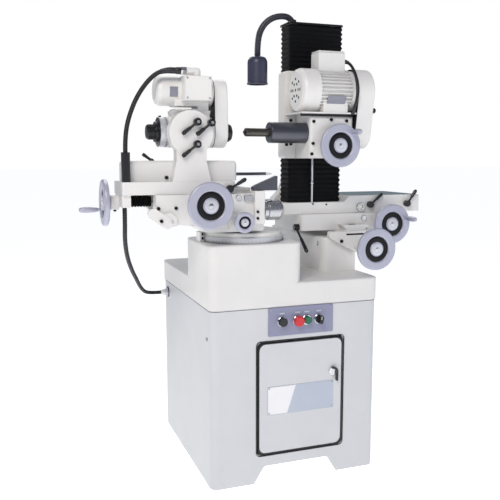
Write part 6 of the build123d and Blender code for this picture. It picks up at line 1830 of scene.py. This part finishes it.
@dataclass
class Wheelhead:
    """Wheelhead with its quill, motor, terminal box and belt guard."""

    fan_middle: Point = (44.0, -195.0, 1311.0)
    hole_rings: tuple[tuple[int, float], ...] = ((1, 0.0), (6, 22.0), (8, 37.0))
    motor_radius: float = 73.0
    rating_along: float = 166.5
    foot_shadow_place: Point = (144.0, -233.2, 1227.6)
    box_middle: Point = (164.0, -195.0, 1438.0)
    box_size: Pair = (98.0, 60.0)
    carriage_front: float = -118.0
    carriage_screws: tuple[Pair, ...] = ((60, 1215), (45, 1131), (61, 1133))
    housing_front: float = -240.0
    housing_screws: tuple[Pair, ...] = ((92, 1206), (157, 1213), (215, 1210), (90, 1133), (86, 1098))
    screw_radius: float = 5.5
    arbor_tip: Point = (-125.0, -195.0, 1169.0)
    guard_left: float = 246.0
    guard_radii: Pair = (75.4, 51.4)
    knob_place: Point = (308.0, -240.0, 1246.0)

    def dress(self) -> None:
        """Add the painted shade of the fan cover's holes and under the motor's foot, the box lid, the plates,
        the arbor's nut, the painted shade on the guard, the knob and the screws.
        """
        self.add_motor_trim()
        self.add_box_lid()
        self.add_arbor_nut()
        self.add_screws()

    def add_motor_trim(self) -> None:
        """Paint the shade of the fan cover's holes as dark patches, fix a bare rating plate and paint the
        shadow under the motor's foot as a dark strip.
        """
        fan = Facing.LEFT.matrix(self.fan_middle)
        # Dark patches paint the shade inside the fan cover's holes.
        for number, (count, radius) in enumerate(self.hole_rings, 1):
            hole_shade = loft([
                rounded_rectangle(8, 10, corner=3, height=height, steps=2) for height in (-SUNK, 0.25)
            ])
            set_round(f"fan_holes_{number}", hole_shade, count, radius, PAINTED_OPENING_SHADE, "wheelhead", fan)
        rating = curved_plate(self.motor_radius + 0.2, width=67, thick=1.0, start=196, end=226)
        place = Facing.UP.matrix((self.rating_along, *self.fan_middle[1:]))
        add_piece("motor_rating_plate", rating, PLATE_GREY, "wheelhead", place)
        foot_shadow = plate(196, 8.2, corner=1, thick=3, edge=0.5)
        add_piece("motor_foot_pad", foot_shadow, BELT_RUBBER_AND_FOOT_SHADOW, "wheelhead", Facing.FRONT.matrix(self.foot_shadow_place))

    def add_box_lid(self) -> None:
        """Screw a lid on the terminal box."""
        width, depth = self.box_size
        x, y, z = self.box_middle
        lid = plate(width + 1, depth + 1, corner=5, thick=4, edge=1.5)
        add_piece("motor_box_lid", lid, IVORY_ENAMEL, "wheelhead", Facing.UP.matrix((x, y, z - 0.5)))
        corner_screws(
            "motor_box_screws", (x, y, z + 3.4), self.box_size, inset=7, radius=3.4, body="wheelhead",
            facing=Facing.UP,
        )

    def add_arbor_nut(self) -> None:
        """Put the dark nut and its screw on the arbor's tip."""
        nut = loft([
            circle(14.4, -2, HEX_POINTS), hexagon(14.6, 0), hexagon(14.6, 10), circle(12, 12.4, HEX_POINTS),
        ])
        add_piece("arbor_nut", nut, BLACK_OXIDE, "wheel_spindle", Facing.LEFT.matrix(self.arbor_tip))
        tip = [Spot((self.arbor_tip[0] - 12.2, *self.arbor_tip[1:]), 5.5, Facing.LEFT)]
        set_out("arbor_screw", ScrewHead.SOCKET.shape(), tip, BLACK_OXIDE, "wheel_spindle")

    def add_screws(self) -> None:
        """Set the screws of the carriage and the housing, paint the shade between the motor and the guard as a
        black plate on the guard's back, and add the guard's knob.
        """
        fronts = [(self.carriage_front, self.carriage_screws), (self.housing_front, self.housing_screws)]
        spots = [Spot((x, front, z), self.screw_radius) for front, places in fronts for x, z in places]
        set_out("wheelhead_screws", ScrewHead.SOCKET.shape(), spots, BLACK_OXIDE, "wheelhead")
        back = prism(belt_outline(*self.guard_radii, self.fan_middle[2] - self.arbor_tip[2]), 1.6)
        seat = Facing.LEFT.matrix((self.guard_left, *self.arbor_tip[1:]))
        add_piece("wheel_guard_back", back, BLACK_ENAMEL_AND_GAP_SHADE, "wheelhead", seat)
        knob = turned([(5, -0.5), (5, 4), (9, 6), (9, 14), (7, 16.5), (2.5, 17)], sides=32)
        add_piece("guard_knob", knob, PHENOLIC, "wheelhead", Facing.RIGHT.matrix(self.knob_place))


def paint_nodes() -> None:
    """Give every carried-over solid its finish."""
    for finish, nodes in NODE_FINISHES.items():
        for node in nodes:
            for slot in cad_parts[node].material_slots:
                slot.link = "OBJECT"
                slot.material = finish.material()
            LOG.info("%s painted with %s", node, finish.name)


def main() -> None:
    """Build and dress the machine."""
    logging.basicConfig(level=logging.INFO, format="%(message)s")
    Studio().build()
    Conduits().build()
    paint_nodes()
    Stand().dress()
    LeftUnit().dress()
    WorkHead().dress()
    RightUnit().dress()
    Column().dress()
    Wheelhead().dress()
    for wheel in HANDWHEELS:
        wheel.dress()


if __name__ == "__main__":
    main()
